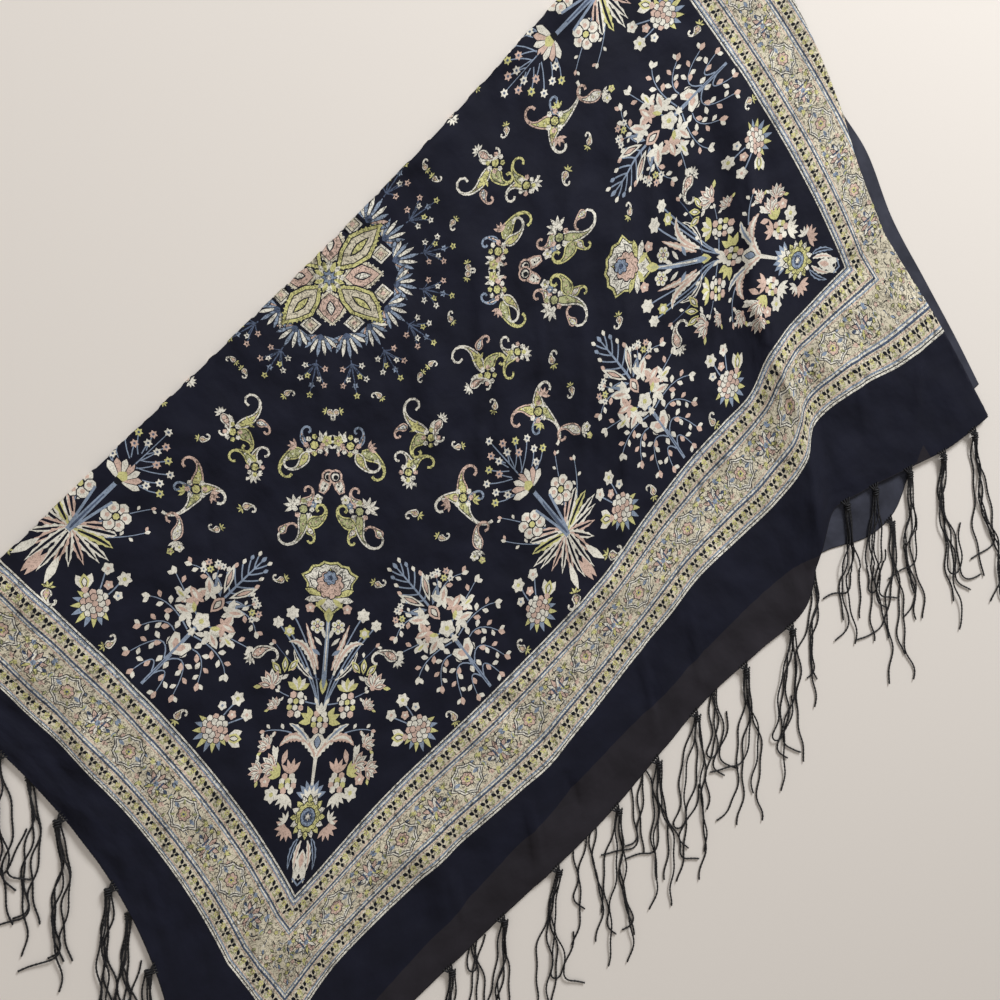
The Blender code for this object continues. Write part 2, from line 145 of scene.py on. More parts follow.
FINE_CREASES = [Crease(*row) for row in (
    (0.365, -0.131, 0.256, -0.262, 0.008, 0.0026),
    (0.256, -0.262, 0.238, -0.305, 0.007, 0.0030),
    (0.238, -0.305, 0.217, -0.382, 0.007, 0.0027),
    (0.217, -0.382, 0.159, -0.472, 0.009, 0.0028),
    (0.270, -0.076, 0.018, -0.351, 0.007, 0.0018),
    (0.200, -0.104, 0.020, -0.304, 0.008, -0.0016),
    (0.111, -0.136, -0.034, -0.300, 0.007, 0.0016),
    (0.100, -0.072, -0.095, -0.287, 0.009, 0.0015),
    (0.321, -0.118, 0.159, -0.316, 0.007, -0.0016),
    (-0.272, -0.430, -0.299, -0.484, 0.008, 0.0022),
    (-0.186, -0.442, -0.221, -0.496, 0.007, 0.0025),
    (-0.146, -0.449, -0.161, -0.486, 0.007, -0.0020),
    (0.038, -0.421, -0.010, -0.489, 0.008, 0.0024),
    (-0.020, -0.414, -0.070, -0.492, 0.007, 0.0022),
    (-0.060, -0.050, -0.205, -0.240, 0.008, 0.0015),
    (-0.165, -0.035, -0.250, -0.130, 0.006, -0.0013),
    (-0.300, -0.080, -0.395, -0.225, 0.008, 0.0017),
    (-0.360, -0.300, -0.480, -0.420, 0.009, 0.0024),
    (0.330, -0.330, 0.262, -0.430, 0.008, 0.0026),
    (0.372, -0.395, 0.300, -0.466, 0.007, 0.0022),
    (0.020, -0.180, -0.060, -0.262, 0.006, 0.0012),
    (-0.010, -0.330, -0.096, -0.405, 0.007, 0.0017),
)]
RIPPLE_HEIGHT = 0.35 * MM
RIPPLE_LENGTH = 22 * MM


def column(table, name):
    return np.array([getattr(row, name) for row in table])


def smooth_through(keys, values, key):
    """Values on a smooth curve through a table's points, level past its ends."""
    order = np.arange(len(keys))
    before = np.maximum(order - 1, 0)
    after = np.minimum(order + 1, len(keys) - 1)
    slope = (values[after] - values[before]) / (keys[after] - keys[before])
    key = np.clip(key, keys[0], keys[-1])
    i = np.clip(np.searchsorted(keys, key, side="right") - 1, 0, len(keys) - 2)
    span = keys[i + 1] - keys[i]
    u = (key - keys[i]) / span
    start = (1 + 2 * u) * (1 - u) ** 2 * values[i] + u * (1 - u) ** 2 * span * slope[i]
    return start + u * u * (3 - 2 * u) * values[i + 1] - u * u * (1 - u) * span * slope[i + 1]


def soft_step(u):
    u = np.clip(u, 0.0, 1.0)
    return u * u * (3 - 2 * u)


def station(name, along):
    return smooth_through(column(STATIONS, "along"), column(STATIONS, name), along)


def turn_along(down):
    """How far along the fold the right side is turned under."""
    return smooth_through(column(TURNS, "down"), column(TURNS, "along"), down)


def place_x(along, down):
    share = np.maximum(down + FOLD_UP, 0.0) / (PANEL_HALF + FOLD_UP)
    lean = np.where(share < 1, share ** 3, 1 + 1.5 * (share - 1))
    fold_x = station("fold_x", along)
    return fold_x + (station("inner_x", along) - fold_x) * lean


def place_y(along, down):
    fold, inner, outer, hem = (station(name, along) for name in ("fold_y", "inner_y", "outer_y", "hem_y"))
    in_panel = fold + (inner - fold) * (down + FOLD_UP) / (PANEL_HALF + FOLD_UP)
    in_border = inner + (outer - inner) * (down - PANEL_HALF) / (BORDER_HALF - PANEL_HALF)
    in_margin = outer + (hem - outer) * (down - BORDER_HALF) / (HALF_SIDE - BORDER_HALF)
    return np.where(down <= PANEL_HALF, in_panel, np.where(down <= BORDER_HALF, in_border, in_margin))


def crease_height(creases, x, y):
    total = np.zeros_like(x)
    for crease in creases:
        run_x = crease.to_x - crease.from_x
        run_y = crease.to_y - crease.from_y
        length = hypot(run_x, run_y)
        share = ((x - crease.from_x) * run_x + (y - crease.from_y) * run_y) / length ** 2
        aside = np.abs((x - crease.from_x) * run_y - (y - crease.from_y) * run_x) / length
        across = np.where(aside < crease.half_width, 0.5 + 0.5 * np.cos(pi * aside / crease.half_width), 0)
        total += crease.height * across * np.sin(pi * np.clip(share, 0, 1)) ** 0.7
    return total


def ripple(x, y):
    """Faint unevenness of cloth that was smoothed by hand."""
    points = zip(x / RIPPLE_LENGTH, y / RIPPLE_LENGTH)
    return RIPPLE_HEIGHT * np.array([noise.noise((u * 0.8 + v * 0.5, v - u * 0.4, 0)) for u, v in points])


def upper_height(along, down, x, y):
    lying = 2 * CLOTH + SEAM_GAP
    hem = soft_step((down - HALF_SIDE + LONG_HEM_LIFT_START) / HEM_LIFT_WIDTH)
    left = soft_step((LEFT_HEM + LEFT_HEM_LIFT_START - along) / HEM_LIFT_WIDTH)
    turn = turn_along(down)
    tuck = 1 - soft_step((turn - along - (HALF_SIDE - turn) - TUCK_MARGIN) / TUCK_RAMP)
    lift = np.maximum(HEM_LIFT * np.maximum(hem, left), (TUCKED_LAYERS + SEAM_GAP) * tuck)
    height = lying + lift + crease_height(LARGE_FOLDS, x, y)
    crown = 1 - soft_step((down + FOLD_UP) / FOLD_CROWN_WIDTH)
    height = height + np.maximum(FOLD_HEIGHT - height, 0) * crown
    fine = crease_height(FINE_CREASES, x, y) + ripple(x, y)
    edge = 1 - np.clip((turn - along) / LIP_WIDTH, 0, 1)
    lip = LIP_DROP * (1 - np.sqrt(1 - edge ** 2)) * soft_step((down + FOLD_UP) / FOLD_CROWN_WIDTH)
    return height + fine * soft_step((down + FOLD_UP) / FOLD_CROWN_WIDTH) - lip


def lay_upper(along, down):
    """Where points of the flat cloth lie on the table; past the fold they run round it to its tail."""
    on_top = np.maximum(down, -FOLD_UP)
    x = place_x(along, on_top)
    y = place_y(along, on_top)
    z = upper_height(along, on_top, x, y)
    radius = z / 2
    past = np.maximum(-FOLD_UP - down, 0)
    angle = np.maximum(pi / 2 - past / radius, -pi / 2)
    tail = np.maximum(past - pi * radius, 0)
    rolled = past > 0
    y = np.where(rolled, y + radius * np.cos(angle) - tail, y)
    z = np.where(rolled, radius + radius * np.sin(angle), z)
    return np.stack([x, y, z], axis=-1)


def under_left(share_down):
    return place_x(LEFT_HEM, share_down * HALF_SIDE) + UNDER_LEFT_INSET


def under_right(share_down):
    return smooth_through(column(UNDER_SIDE, "share_down"), column(UNDER_SIDE, "x"), share_down)


def under_hem_y(x):
    return smooth_through(column(UNDER_HEM, "x"), column(UNDER_HEM, "y"), x)


def fold_y_at(x):
    return smooth_through(column(STATIONS, "fold_x"), column(STATIONS, "fold_y"), x)


def lay_under(across, share_down):
    x = under_left(share_down) * (1 - across) + under_right(share_down) * across
    top_y = fold_y_at(x) - FOLD_TAIL - 2 * SEAM_GAP
    y = top_y * (1 - share_down) + under_hem_y(x) * share_down
    return np.stack([x, y, np.full_like(x, CLOTH)], axis=-1)


# The medallion's middle is this far from the model's origin: the under layer's lower left corner
# is at the same place in both.
UNDER_COLUMNS = 26
under_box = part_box("under_layer")
under_low = lay_under(np.linspace(0, 1, UNDER_COLUMNS + 1), np.ones(UNDER_COLUMNS + 1)).min(axis=0)
MEDALLION = Vector((under_box[0][0] - under_low[0], under_box[0][1] - under_low[1], 0.0))

# Camera: it looks down on the scarf from the photograph's place, 15 degrees from straight down, so
# that the fold climbs from the left edge of the picture to its top.
CAMERA_PLACE = Vector((-0.1319, -0.0426, 0.8137))
LOOK = Vector((0.1247, -0.2290, -0.9654))
PICTURE_UP = Vector((0.6914, 0.7179, -0.0810))
PICTURE_RIGHT = LOOK.cross(PICTURE_UP).normalized()


def add_object(name, data):
    """A new object, in the scene."""
    thing = bpy.data.objects.new(name, data)
    bpy.context.scene.collection.objects.link(thing)
    return thing


camera_data = bpy.data.cameras.new("camera")
camera_data.lens = 36
camera_data.sensor_width = 36
camera_data.clip_start = 0.01
camera = add_object("camera", camera_data)
camera.matrix_world = Matrix.Translation(CAMERA_PLACE + MEDALLION) @ Matrix(
    (PICTURE_RIGHT, PICTURE_UP.normalized(), -LOOK.normalized())
).transposed().to_4x4()
bpy.context.scene.camera = camera

# Printing inks on the dark cloth, and the strokes that the motifs are drawn with. A shape is an
# outline in millimetres on the flat cloth and its ink; later shapes are printed over earlier ones.
INKS = {
    "navy": (18, 20, 36),
    "sheer_navy": (38, 35, 41),
    "cream": (242, 238, 224),
    "yellow": (218, 214, 146),
    "green": (190, 192, 142),
    "blue": (146, 161, 182),
    "deep_blue": (86, 99, 124),
    "pink": (222, 192, 176),
    "beige": (228, 219, 194),
    "black": (20, 22, 30),
}
Shape = namedtuple("Shape", "points ink is_stroke", defaults=(False,))
SEGMENT = 5.0
UP = -pi / 2


def linear(channel):
    channel = channel / 255
    return channel / 12.92 if channel <= 0.04045 else ((channel + 0.055) / 1.055) ** 2.4


def band(points, widths, ink):
    """A stroke along a line, as wide at each point as the list says."""
    points = np.array(points, float)
    widths = np.maximum(np.broadcast_to(widths, len(points)), 0.15)
    run = np.gradient(points, axis=0)
    run /= np.maximum(np.linalg.norm(run, axis=1, keepdims=True), 1e-9)
    side = np.stack([-run[:, 1], run[:, 0]], axis=1) * widths[:, None] / 2
    return Shape(np.concatenate([points + side, (points - side)[::-1]]), ink, True)


def bend(start, middle, end, steps=6):
    """Points of a curve that leaves start toward middle and arrives at end."""
    start, middle, end = (np.array(point, float) for point in (start, middle, end))
    shares = np.linspace(0, 1, steps + 1)[:, None]
    return start * (1 - shares) ** 2 + middle * 2 * shares * (1 - shares) + end * shares ** 2


def petal(x, y, heading, length, width, ink, widest=0.55):
    """A petal or a small leaf, pointed at both ends."""
    shares = (0.0, widest * 0.45, widest, (1 + widest) / 2, 1.0, (1 + widest) / 2, widest, widest * 0.45)
    sides = (0.0, 0.68, 1.0, 0.62, 0.0, -0.62, -1.0, -0.68)
    run = np.array([cos(heading), sin(heading)])
    out = np.array([-run[1], run[0]])
    points = [np.array([x, y]) + run * length * u + out * width / 2 * v for u, v in zip(shares, sides)]
    return Shape(np.array(points), ink)


def lined_petal(x, y, heading, length, width, ink, vein, widest=0.55):
    """A petal with a dark line inside its edge and a vein of another ink."""
    run = np.array([cos(heading), sin(heading)])
    inside = (x, y) + run * length * 0.16
    heart = (x, y) + run * length * 0.26
    return [
        petal(x, y, heading, length, width, ink, widest),
        petal(*inside, heading, length * 0.66, width * 0.6, "navy", widest),
        petal(*heart, heading, length * 0.5, width * 0.42, vein, widest),
    ]


def disc(x, y, radius, ink, sides=8):
    turns = [2 * pi * (k + 0.5) / sides for k in range(sides)]
    return Shape(np.array([(x + radius * cos(a), y + radius * sin(a)) for a in turns]), ink)


def scallop(x, y, radius, lobes, depth, ink):
    """A round outline with lobes, three points to a lobe."""
    points = []
    for k in range(lobes * 3):
        angle = 2 * pi * k / (lobes * 3)
        reach = radius * (1 - depth if k % 3 == 0 else 1)
        points.append((x + reach * cos(angle), y + reach * sin(angle)))
    return Shape(np.array(points), ink)


def star(x, y, radius, ink, rays=5, depth=0.5, turn=UP):
    points = []
    for k in range(rays * 2):
        angle = turn + pi * k / rays
        reach = radius * (1 if k % 2 == 0 else depth)
        points.append((x + reach * cos(angle), y + reach * sin(angle)))
    return Shape(np.array(points), ink)


def blossom(x, y, radius, ink, heart, petals=5):
    """A small open flower."""
    shapes = []
    for k in range(petals):
        heading = UP + 2 * pi * k / petals
        shapes.append(petal(x, y, heading, radius, radius * 4.2 / petals, ink, 0.62))
    return shapes + [disc(x, y, radius * 0.28, heart, 6)]


def moved(shapes, along=0.0, down=0.0, turn=0.0, size=1.0, flip=False):
    """Copies of shapes, mirrored left to right, sized, turned and carried to a place."""
    spin = np.array([[cos(turn), sin(turn)], [-sin(turn), cos(turn)]])
    mirror = np.array([-1.0 if flip else 1.0, 1.0])
    return [shape._replace(points=shape.points * mirror * size @ spin + (along, down)) for shape in shapes]


def worked(shapes):
    """Shapes whose light inks are filled with fine dark drawing."""
    return [shape._replace(ink="worked_" + shape.ink.removeprefix("worked_")) for shape in shapes]


def both_sides(shapes):
    return shapes + moved(shapes, flip=True)


def all_round(shapes):
    """The eight copies of shapes that stand round the medallion."""
    copies = []
    for swap in (False, True):
        for along_sign in (1, -1):
            for down_sign in (1, -1):
                for shape in shapes:
                    points = shape.points[:, ::-1] if swap else shape.points
                    copies.append(shape._replace(points=points * (along_sign, down_sign)))
    return copies


# Medallion: lens petals over pink ones and a ring of fans, printed at the middle of the square, so
# that the fold shows a little more than half of it. Small blossoms stand round it on blue twigs.
FANS = 16
FAN_START = 50
SPRAY_START = 71
LOZENGES_OUT = 43
FAN_INKS = ("blue", "cream", "blue", "cream", "blue", "cream", "blue", "pink", "blue")
BLOSSOM_INKS = ("cream", "pink", "yellow", "cream", "blue")


def fan():
    """One fan palmette, standing on the origin and opening upward."""
    shapes = []
    for k, ink in enumerate(FAN_INKS):
        step = k - (len(FAN_INKS) - 1) / 2
        heading = UP + step * 0.3
        shapes.append(petal(step * 0.9, 0, heading, 21 - 1.7 * abs(step), 4.4, "navy", 0.7))
        shapes.append(petal(step * 0.9, 0, heading, 20 - 1.7 * abs(step), 3.0, ink, 0.7))
    shapes.append(disc(0, -2, 3.2, "deep_blue", 6))
    return shapes


def blossom_spray():
    """Twigs with small blossoms, standing on the origin and reaching upward."""
    shapes = [band(bend((0, 0), (0.5, -9), (0, -16), 3), 1.0, "deep_blue")]
    heads = ((-8, -6), (8, -6), (-5, -14), (5, -15), (0, -21), (-10, -17), (10, -19), (0, -29))
    for k, (x, y) in enumerate(heads):
        shapes.append(band(bend((0, -3), (x * 0.5, y * 0.5 - 3), (x, y), 2), 0.8, "deep_blue"))
        ink = BLOSSOM_INKS[k % len(BLOSSOM_INKS)]
        shapes.append(star(x, y, 2.9, ink, 5, 0.55, UP + k))
        shapes.append(disc(x, y, 0.9, "navy", 4))
    return shapes


def stippled_petal(heading, start, length, width, edge, body, beads):
    """A medallion petal: a light edge, a dark line, a pale body and rows of beads in it."""
    run = np.array([cos(heading), sin(heading)])
    out = np.array([-run[1], run[0]])
    base = run * start
    shapes = [petal(*base, heading, length, width, "navy", 0.5)]
    shapes.append(petal(*(base + run), heading, length - 2, width - 2.4, edge, 0.5))
    shapes.append(petal(*(base + run * length * 0.1), heading, length * 0.8, width * 0.70, "navy", 0.5))
    shapes.append(petal(*(base + run * length * 0.12), heading, length * 0.76, width * 0.63, body, 0.5))
    shapes.append(petal(*(base + run * length * 0.3), heading, length * 0.42, width * 0.26, "navy", 0.5))
    shapes.append(petal(*(base + run * length * 0.34), heading, length * 0.34, width * 0.17, beads, 0.5))
    count = int(length / 3.2)
    for k in range(count):
        share = (k + 0.5) / count
        for side in (-1, 1):
            reach = sin(pi * share) * width * 0.4
            place = base + run * length * share + out * side * reach
            shapes.append(disc(*place, 0.8, beads, 4))
    return shapes


def medallion():
    shapes = []
    for k in range(FANS):
        heading = 2 * pi * (k + 0.5) / FANS
        out = np.array([cos(heading), sin(heading)])
        size = 1.0 if k % 2 else 0.94
        shapes += moved(blossom_spray(), *(out * SPRAY_START), heading - UP, 1.0, k % 2 == 0)
        shapes += moved(fan(), *(out * FAN_START), heading - UP, size)
    for k in range(4):
        shapes += stippled_petal(pi / 4 + k * pi / 2, 9, 33, 29, "beige", "pink", "cream")
    for k in range(8):
        heading = pi / 8 + k * pi / 4
        place = (LOZENGES_OUT * cos(heading), LOZENGES_OUT * sin(heading))
        for radius, ink in ((9.2, "navy"), (8.2, "cream"), (6.2, "navy"), (5.4, "beige"), (2.4, "pink")):
            shapes.append(disc(*place, radius, ink, 4))
    for k in range(4):
        shapes += stippled_petal(k * pi / 2, 8, 49, 27, "yellow", "beige", "yellow")
    for k in range(16):
        shapes.append(petal(0, 0, k * pi / 8, 13, 4.2, "yellow" if k % 2 else "cream", 0.7))
    shapes.append(star(0, 0, 7.5, "navy", 8, 0.6))
    shapes.append(star(0, 0, 6.3, "blue", 8, 0.6))
    return worked(shapes + [disc(0, 0, 2.2, "cream", 6)])


# Scattered sprigs: traditional curled botehs, alone or in twos and threes, in the space between the
# medallion and the flowers. They are drawn for one eighth of the square and mirrored round it.
BOTEH_FAT = (0.3, 0.78, 1.0, 0.98, 0.8, 0.6, 0.45, 0.34, 0.28, 0.24, 0.22, 0.2, 0.2, 0.22, 0.24)


def curl_line(length, curl, steps=14):
    """A line that starts upward and straight and curls more and more toward its end."""
    points = [np.zeros(2)]
    for k in range(steps):
        heading = UP + curl * 1.55 * ((k + 0.5) / steps) ** 2.6
        points.append(points[-1] + np.array([cos(heading), sin(heading)]) * length / steps)
    return np.array(points)


def boteh(length, width, curl, edge="cream", body="yellow", beads="pink"):
    """A teardrop with a curled tip: a light edge, a dark line, a coloured body and beads in it."""
    line = curl_line(length * 1.12, curl)
    fat = np.array(BOTEH_FAT) * width * 1.12
    shapes = [band(line, np.maximum(fat, 1.7), edge)]
    shapes.append(band(line[:8], fat[:8] - 2.2, "navy"))
    shapes.append(band(line[:8], fat[:8] - 3.2, body))
    for k in range(1, 7, 2):
        shapes.append(disc(*line[k], 0.8, beads, 4))
    return shapes


def bead_head(x, y, radius, inks=("cream", "yellow", "cream", "pink")):
    """The beaded head where a sprig's arms meet."""
    shapes = []
    for k in range(8):
        angle = 2 * pi * k / 8
        place = (x + radius * cos(angle), y + radius * sin(angle))
        shapes.append(disc(*place, radius * 0.34, inks[k % len(inks)], 5))
    return shapes + [disc(x, y, radius * 0.66, "navy", 8), disc(x, y, radius * 0.5, inks[1], 6)]


def leaf_comb(count, length, spread, ink):
    """A few narrow leaves from one point, as at the foot of a sprig."""
    headings = [UP + spread * (k / (count - 1) - 0.5) for k in range(count)]
    return [petal(0, 0, heading, length, length * 0.32, ink) for heading in headings]


def tall_curl_sprig():
    shapes = moved(boteh(44, 6.5, -3.6, "cream", "yellow", "pink"), 0, 22, 0.35)
    shapes += moved(boteh(26, 8.5, 3.4, "yellow", "green", "pink"), 3, 22, 1.35)
    shapes += moved(boteh(17, 5.5, 3.0, "pink", "cream", "blue"), 8, 8, 0.9)
    shapes += moved(leaf_comb(4, 7, 1.8, "cream"), -3, 20, -2.3) + bead_head(1, 26, 5.6)
    return shapes + moved(leaf_comb(4, 6, 1.9, "yellow"), 4, 14, 0.2)


def scroll_sprig():
    shapes = moved(boteh(34, 8, -2.6, "yellow", "green", "cream"), 0, 6, pi + 0.45)
    shapes += moved(boteh(30, 7, 3.0, "cream", "yellow", "pink"), 3, 4, pi - 0.35)
    shapes += moved(boteh(20, 3.6, 3.2, "blue", "cream", "pink"), -2, 2, -1.2)
    shapes += moved(boteh(16, 7, 1.8, "pink", "cream", "yellow"), 3, 3, 0.35)
    shapes += moved(leaf_comb(6, 9, 3.0, "cream"), 6, -9, 0.4)
    shapes += moved(leaf_comb(4, 7, 1.6, "pink"), -5, 8, -1.9)
    return shapes + blossom(7, -12, 4.2, "yellow", "pink") + bead_head(3, -3, 6.2)


def three_arm_sprig():
    shapes = moved(boteh(28, 6.5, 3.2, "cream", "yellow", "pink"), 6, 6, -0.75)
    shapes += moved(boteh(30, 6.5, -3.0, "yellow", "green", "cream"), 6, 4, -1.35)
    shapes += moved(boteh(15, 8, 1.2, "cream", "yellow", "blue"), 3, 1, pi - 0.8)
    return shapes + moved(leaf_comb(5, 7, 2.4, "cream"), 9, 9, 2.0) + bead_head(6, 4, 5.6)


def large_curve_sprig():
    shapes = moved(boteh(46, 7.5, 3.2, "cream", "green", "pink"), -10, -8, 2.35)
    shapes += moved(boteh(30, 8.5, -3.6, "yellow", "green", "pink"), 0, -2, 0.5)
    shapes += moved(boteh(24, 7, -3.2, "pink", "cream", "yellow"), -14, -8, 0.3)
    shapes += moved(boteh(16, 6, 2.6, "yellow", "cream", "pink"), 2, 0, 1.5)
    shapes += moved(leaf_comb(5, 9, 2.6, "cream"), -16, -5, -1.6)
    shapes += bead_head(-10, -8, 6.4, ("cream", "green", "pink", "cream"))
    return shapes + moved(boteh(16, 6, 1.6, "pink", "cream", "yellow"), -9, 18, -0.2)


def upright_sprig():
    shapes = moved(boteh(34, 8, -2.9, "pink", "yellow", "cream"), 0, 2, -0.42)
    shapes += moved(boteh(30, 8, 2.6, "cream", "yellow", "pink"), 2, 2, 0.5)
    shapes += moved(boteh(34, 9, 1.2, "cream", "green", "yellow"), 2, -2, pi - 0.3)
    shapes += moved(boteh(22, 3.6, -3.4, "blue", "cream", "pink"), 2, 6, -1.3)
    shapes += moved(leaf_comb(5, 7, 2.4, "pink"), 11, -4, 1.1)
    return shapes + moved(leaf_comb(4, 6, 1.8, "yellow"), -3, 8, -2.0) + bead_head(1, 1, 6.4)


def ring_boteh():
    shapes = [disc(0, 0, 6.2, "pink", 10), disc(0, 0, 4.6, "navy", 10), disc(0, 0, 3.4, "cream", 8)]
    shapes += [disc(0.4, 0.6, 2.2, "black", 8), band([(2, 4), (4, 9), (6, 14)], (9, 9, 5), "pink")]
    shapes.append(band([(2.4, 5), (4, 9), (5.6, 13)], (5.5, 6, 3), "cream"))
    shapes += [disc(3, 8, 1.1, "navy", 4), disc(5, 12, 1.0, "navy", 4)]
    return shapes + blossom(9, 19, 4.5, "cream", "yellow") + blossom(13, 24, 3.2, "blue", "cream")


def small_boteh():
    shapes = boteh(15, 6, 2.8, "cream", "pink", "yellow")
    return shapes + moved(leaf_comb(4, 4.5, 2.6, "yellow"), 0, 1, pi)


def boteh_with_rays():
    shapes = boteh(24, 7, 2.6, "cream", "pink", "cream")
    return shapes + moved(leaf_comb(6, 5.5, 3.0, "cream"), 0, 1, pi)


def boteh_on_sprig():
    shapes = boteh(34, 8.5, -3.4, "pink", "cream", "yellow")
    shapes += moved(leaf_comb(5, 7, 2.2, "cream"), 2, 0, 2.6)
    return shapes + blossom(7, 3, 4.2, "cream", "yellow") + blossom(2, 9, 3.2, "yellow", "pink")


def scattered():
    """Each row is a sprig, how far along and down it stands, its turn, its size and if it is flipped."""
    placed = (
        (tall_curl_sprig, 33, 122, 0, 1.12, False),
        (scroll_sprig, 84, 112, 0, 1.12, False),
        (three_arm_sprig, 60, 154, 0, 1.12, False),
        (large_curve_sprig, 130, 162, 0, 1.12, False),
        (upright_sprig, 46, 206, 0, 1.12, False),
        (ring_boteh, 118, 114, -45, 1.0, False),
        (boteh_with_rays, 18, 147, 100, 1.0, False),
        (boteh_on_sprig, 64, 250, -18, 1.0, False),
        (boteh_with_rays, 178, 268, 14, 1.25, False),
        (small_boteh, 84, 190, 20, 1.0, False),
        (small_boteh, 83, 216, 200, 0.85, False),
        (small_boteh, 20, 175, 60, 0.8, True),
        (small_boteh, 75, 82, 60, 0.8, False),
        (small_boteh, 42, 98, 0, 0.75, False),
        (small_boteh, 4, 108, 90, 0.7, False),
        (small_boteh, 22, 342, 150, 1.25, True),
        (small_boteh, 85, 344, 30, 1.0, True),
        (small_boteh, 168, 345, -20, 1.0, False),
        (small_boteh, 150, 206, 200, 0.9, False),
    )
    shapes = []
    for motif, along, down, turn, size, flip in placed:
        shapes += moved(motif(), along, down, radians(turn), size, flip)
    return worked(shapes)


# Flowers along the border: a bouquet at the middle of each side, a flowering tree at each quarter,
# daisies between them, and a large bouquet on each diagonal. Stems are blue, leaves cream and yellow.
TREE_PLACE = (127, 275)
DAISIES = ((56, 326, True), (197, 327, False))
DIAGONAL_PLACE = 247.5


def toothed_leaf(line, width, ink, vein="navy"):
    """A long leaf with a saw edge, and a dark line and a lighter vein in it."""
    count = len(line)
    shares = np.linspace(0, 1, count)
    fat = width * np.sin(pi * np.clip(shares * 0.94 + 0.06, 0, 1)) ** 0.8
    teeth = fat * np.where(np.arange(count) % 2, 0.66, 1.0)
    return [band(line, teeth, ink), band(line[1:-1], fat[1:-1] * 0.3, vein)]


def round_flower(radius, outer, inner, heart):
    """An open flower of round petals, each with a dark line round it."""
    shapes = []
    for k in range(6):
        angle = UP + 2 * pi * k / 6
        place = (radius * 0.62 * cos(angle), radius * 0.62 * sin(angle))
        shapes.append(disc(*place, radius * 0.44, "navy", 8))
        shapes.append(disc(*place, radius * 0.37, outer, 8))
        shapes.append(disc(*(0.9 * np.array(place)), radius * 0.17, inner, 5))
    shapes.append(disc(0, 0, radius * 0.3, "navy", 8))
    return shapes + [disc(0, 0, radius * 0.22, heart, 6)]


def carnation():
    shapes = []
    for k in range(7):
        heading = UP + (k - 3) * 0.42
        shapes.append(petal(0, 6, heading, 19, 7.5, "navy", 0.75))
        shapes.append(petal(0, 6, heading, 18, 6, "pink" if k % 2 else "cream", 0.75))
    shapes.append(petal(0, 8, UP, 11, 9, "yellow", 0.6))
    return shapes + [band([(0, 5), (0, 10)], (7, 3), "black")]


def daisy():
    """A full flower of many round petals, with blue and yellow leaves spread below it."""
    shapes = []
    for k in range(9):
        heading = pi / 2 + (k - 4) * 0.36
        shapes.append(petal(0, 0, heading, 22 - abs(k - 4), 4.4, ("yellow", "blue")[k % 2], 0.65))
    for ring, (radius, count) in enumerate(((9.5, 11), (5.4, 7))):
        for k in range(count):
            angle = 2 * pi * k / count + ring * 0.3
            place = (radius * cos(angle), radius * sin(angle))
            shapes.append(disc(*place, 3.7, "navy", 6))
            shapes.append(disc(*place, 3.0, ("cream", "pink", "cream")[(k + ring) % 3], 6))
    return shapes + [disc(0, 0, 2.6, "pink", 6)]


def bell():
    """A yellow bell flower, opening upward."""
    shapes = [petal(0, 4, UP + side * 0.45, 14, 7, "cream", 0.6) for side in (-1, 1)]
    shapes += lined_petal(0, 5, UP, 14, 8, "yellow", "cream", 0.6)
    return shapes + [petal(0, 1, pi / 2, 6, 6, "pink", 0.4)]


def bud(x, y, heading, length, ink):
    return [petal(x, y, heading, length, length * 0.62, ink, 0.6)]


def twig(start, middle, end, buds, length, width=1.1, stem="blue", inks=("cream", "pink", "cream")):
    """A thin arching stem with buds on both sides and one at its tip."""
    line = bend(start, middle, end, 8)
    shapes = [band(line, np.linspace(width, width * 0.55, len(line)), stem)]
    run = np.gradient(line, axis=0)
    for k in range(buds):
        i = 2 + int(k * 6 / max(buds - 1, 1))
        heading = atan2(run[i][1], run[i][0]) + (0.85 if k % 2 else -0.85)
        out = line[i] + 1.6 * np.array([cos(heading), sin(heading)])
        shapes += bud(*out, heading, length * (1 - 0.04 * k), inks[k % len(inks)])
    tip = atan2(run[-1][1], run[-1][0])
    return shapes + bud(*line[-1], tip, length, inks[buds % len(inks)])


def lobed_leaf(x, y, heading, length, ink, vein="yellow"):
    """A broad leaf with five lobes."""
    points = []
    for k in range(20):
        angle = 2 * pi * k / 20
        reach = length * (0.34 + 0.66 * abs(cos(angle / 2)) ** 1.3) * (0.72 + 0.28 * cos(5 * angle))
        points.append((x + reach * cos(heading + angle), y + reach * sin(heading + angle)))
    return [Shape(np.array(points), ink), petal(x, y, heading, length * 0.8, length * 0.22, vein)]


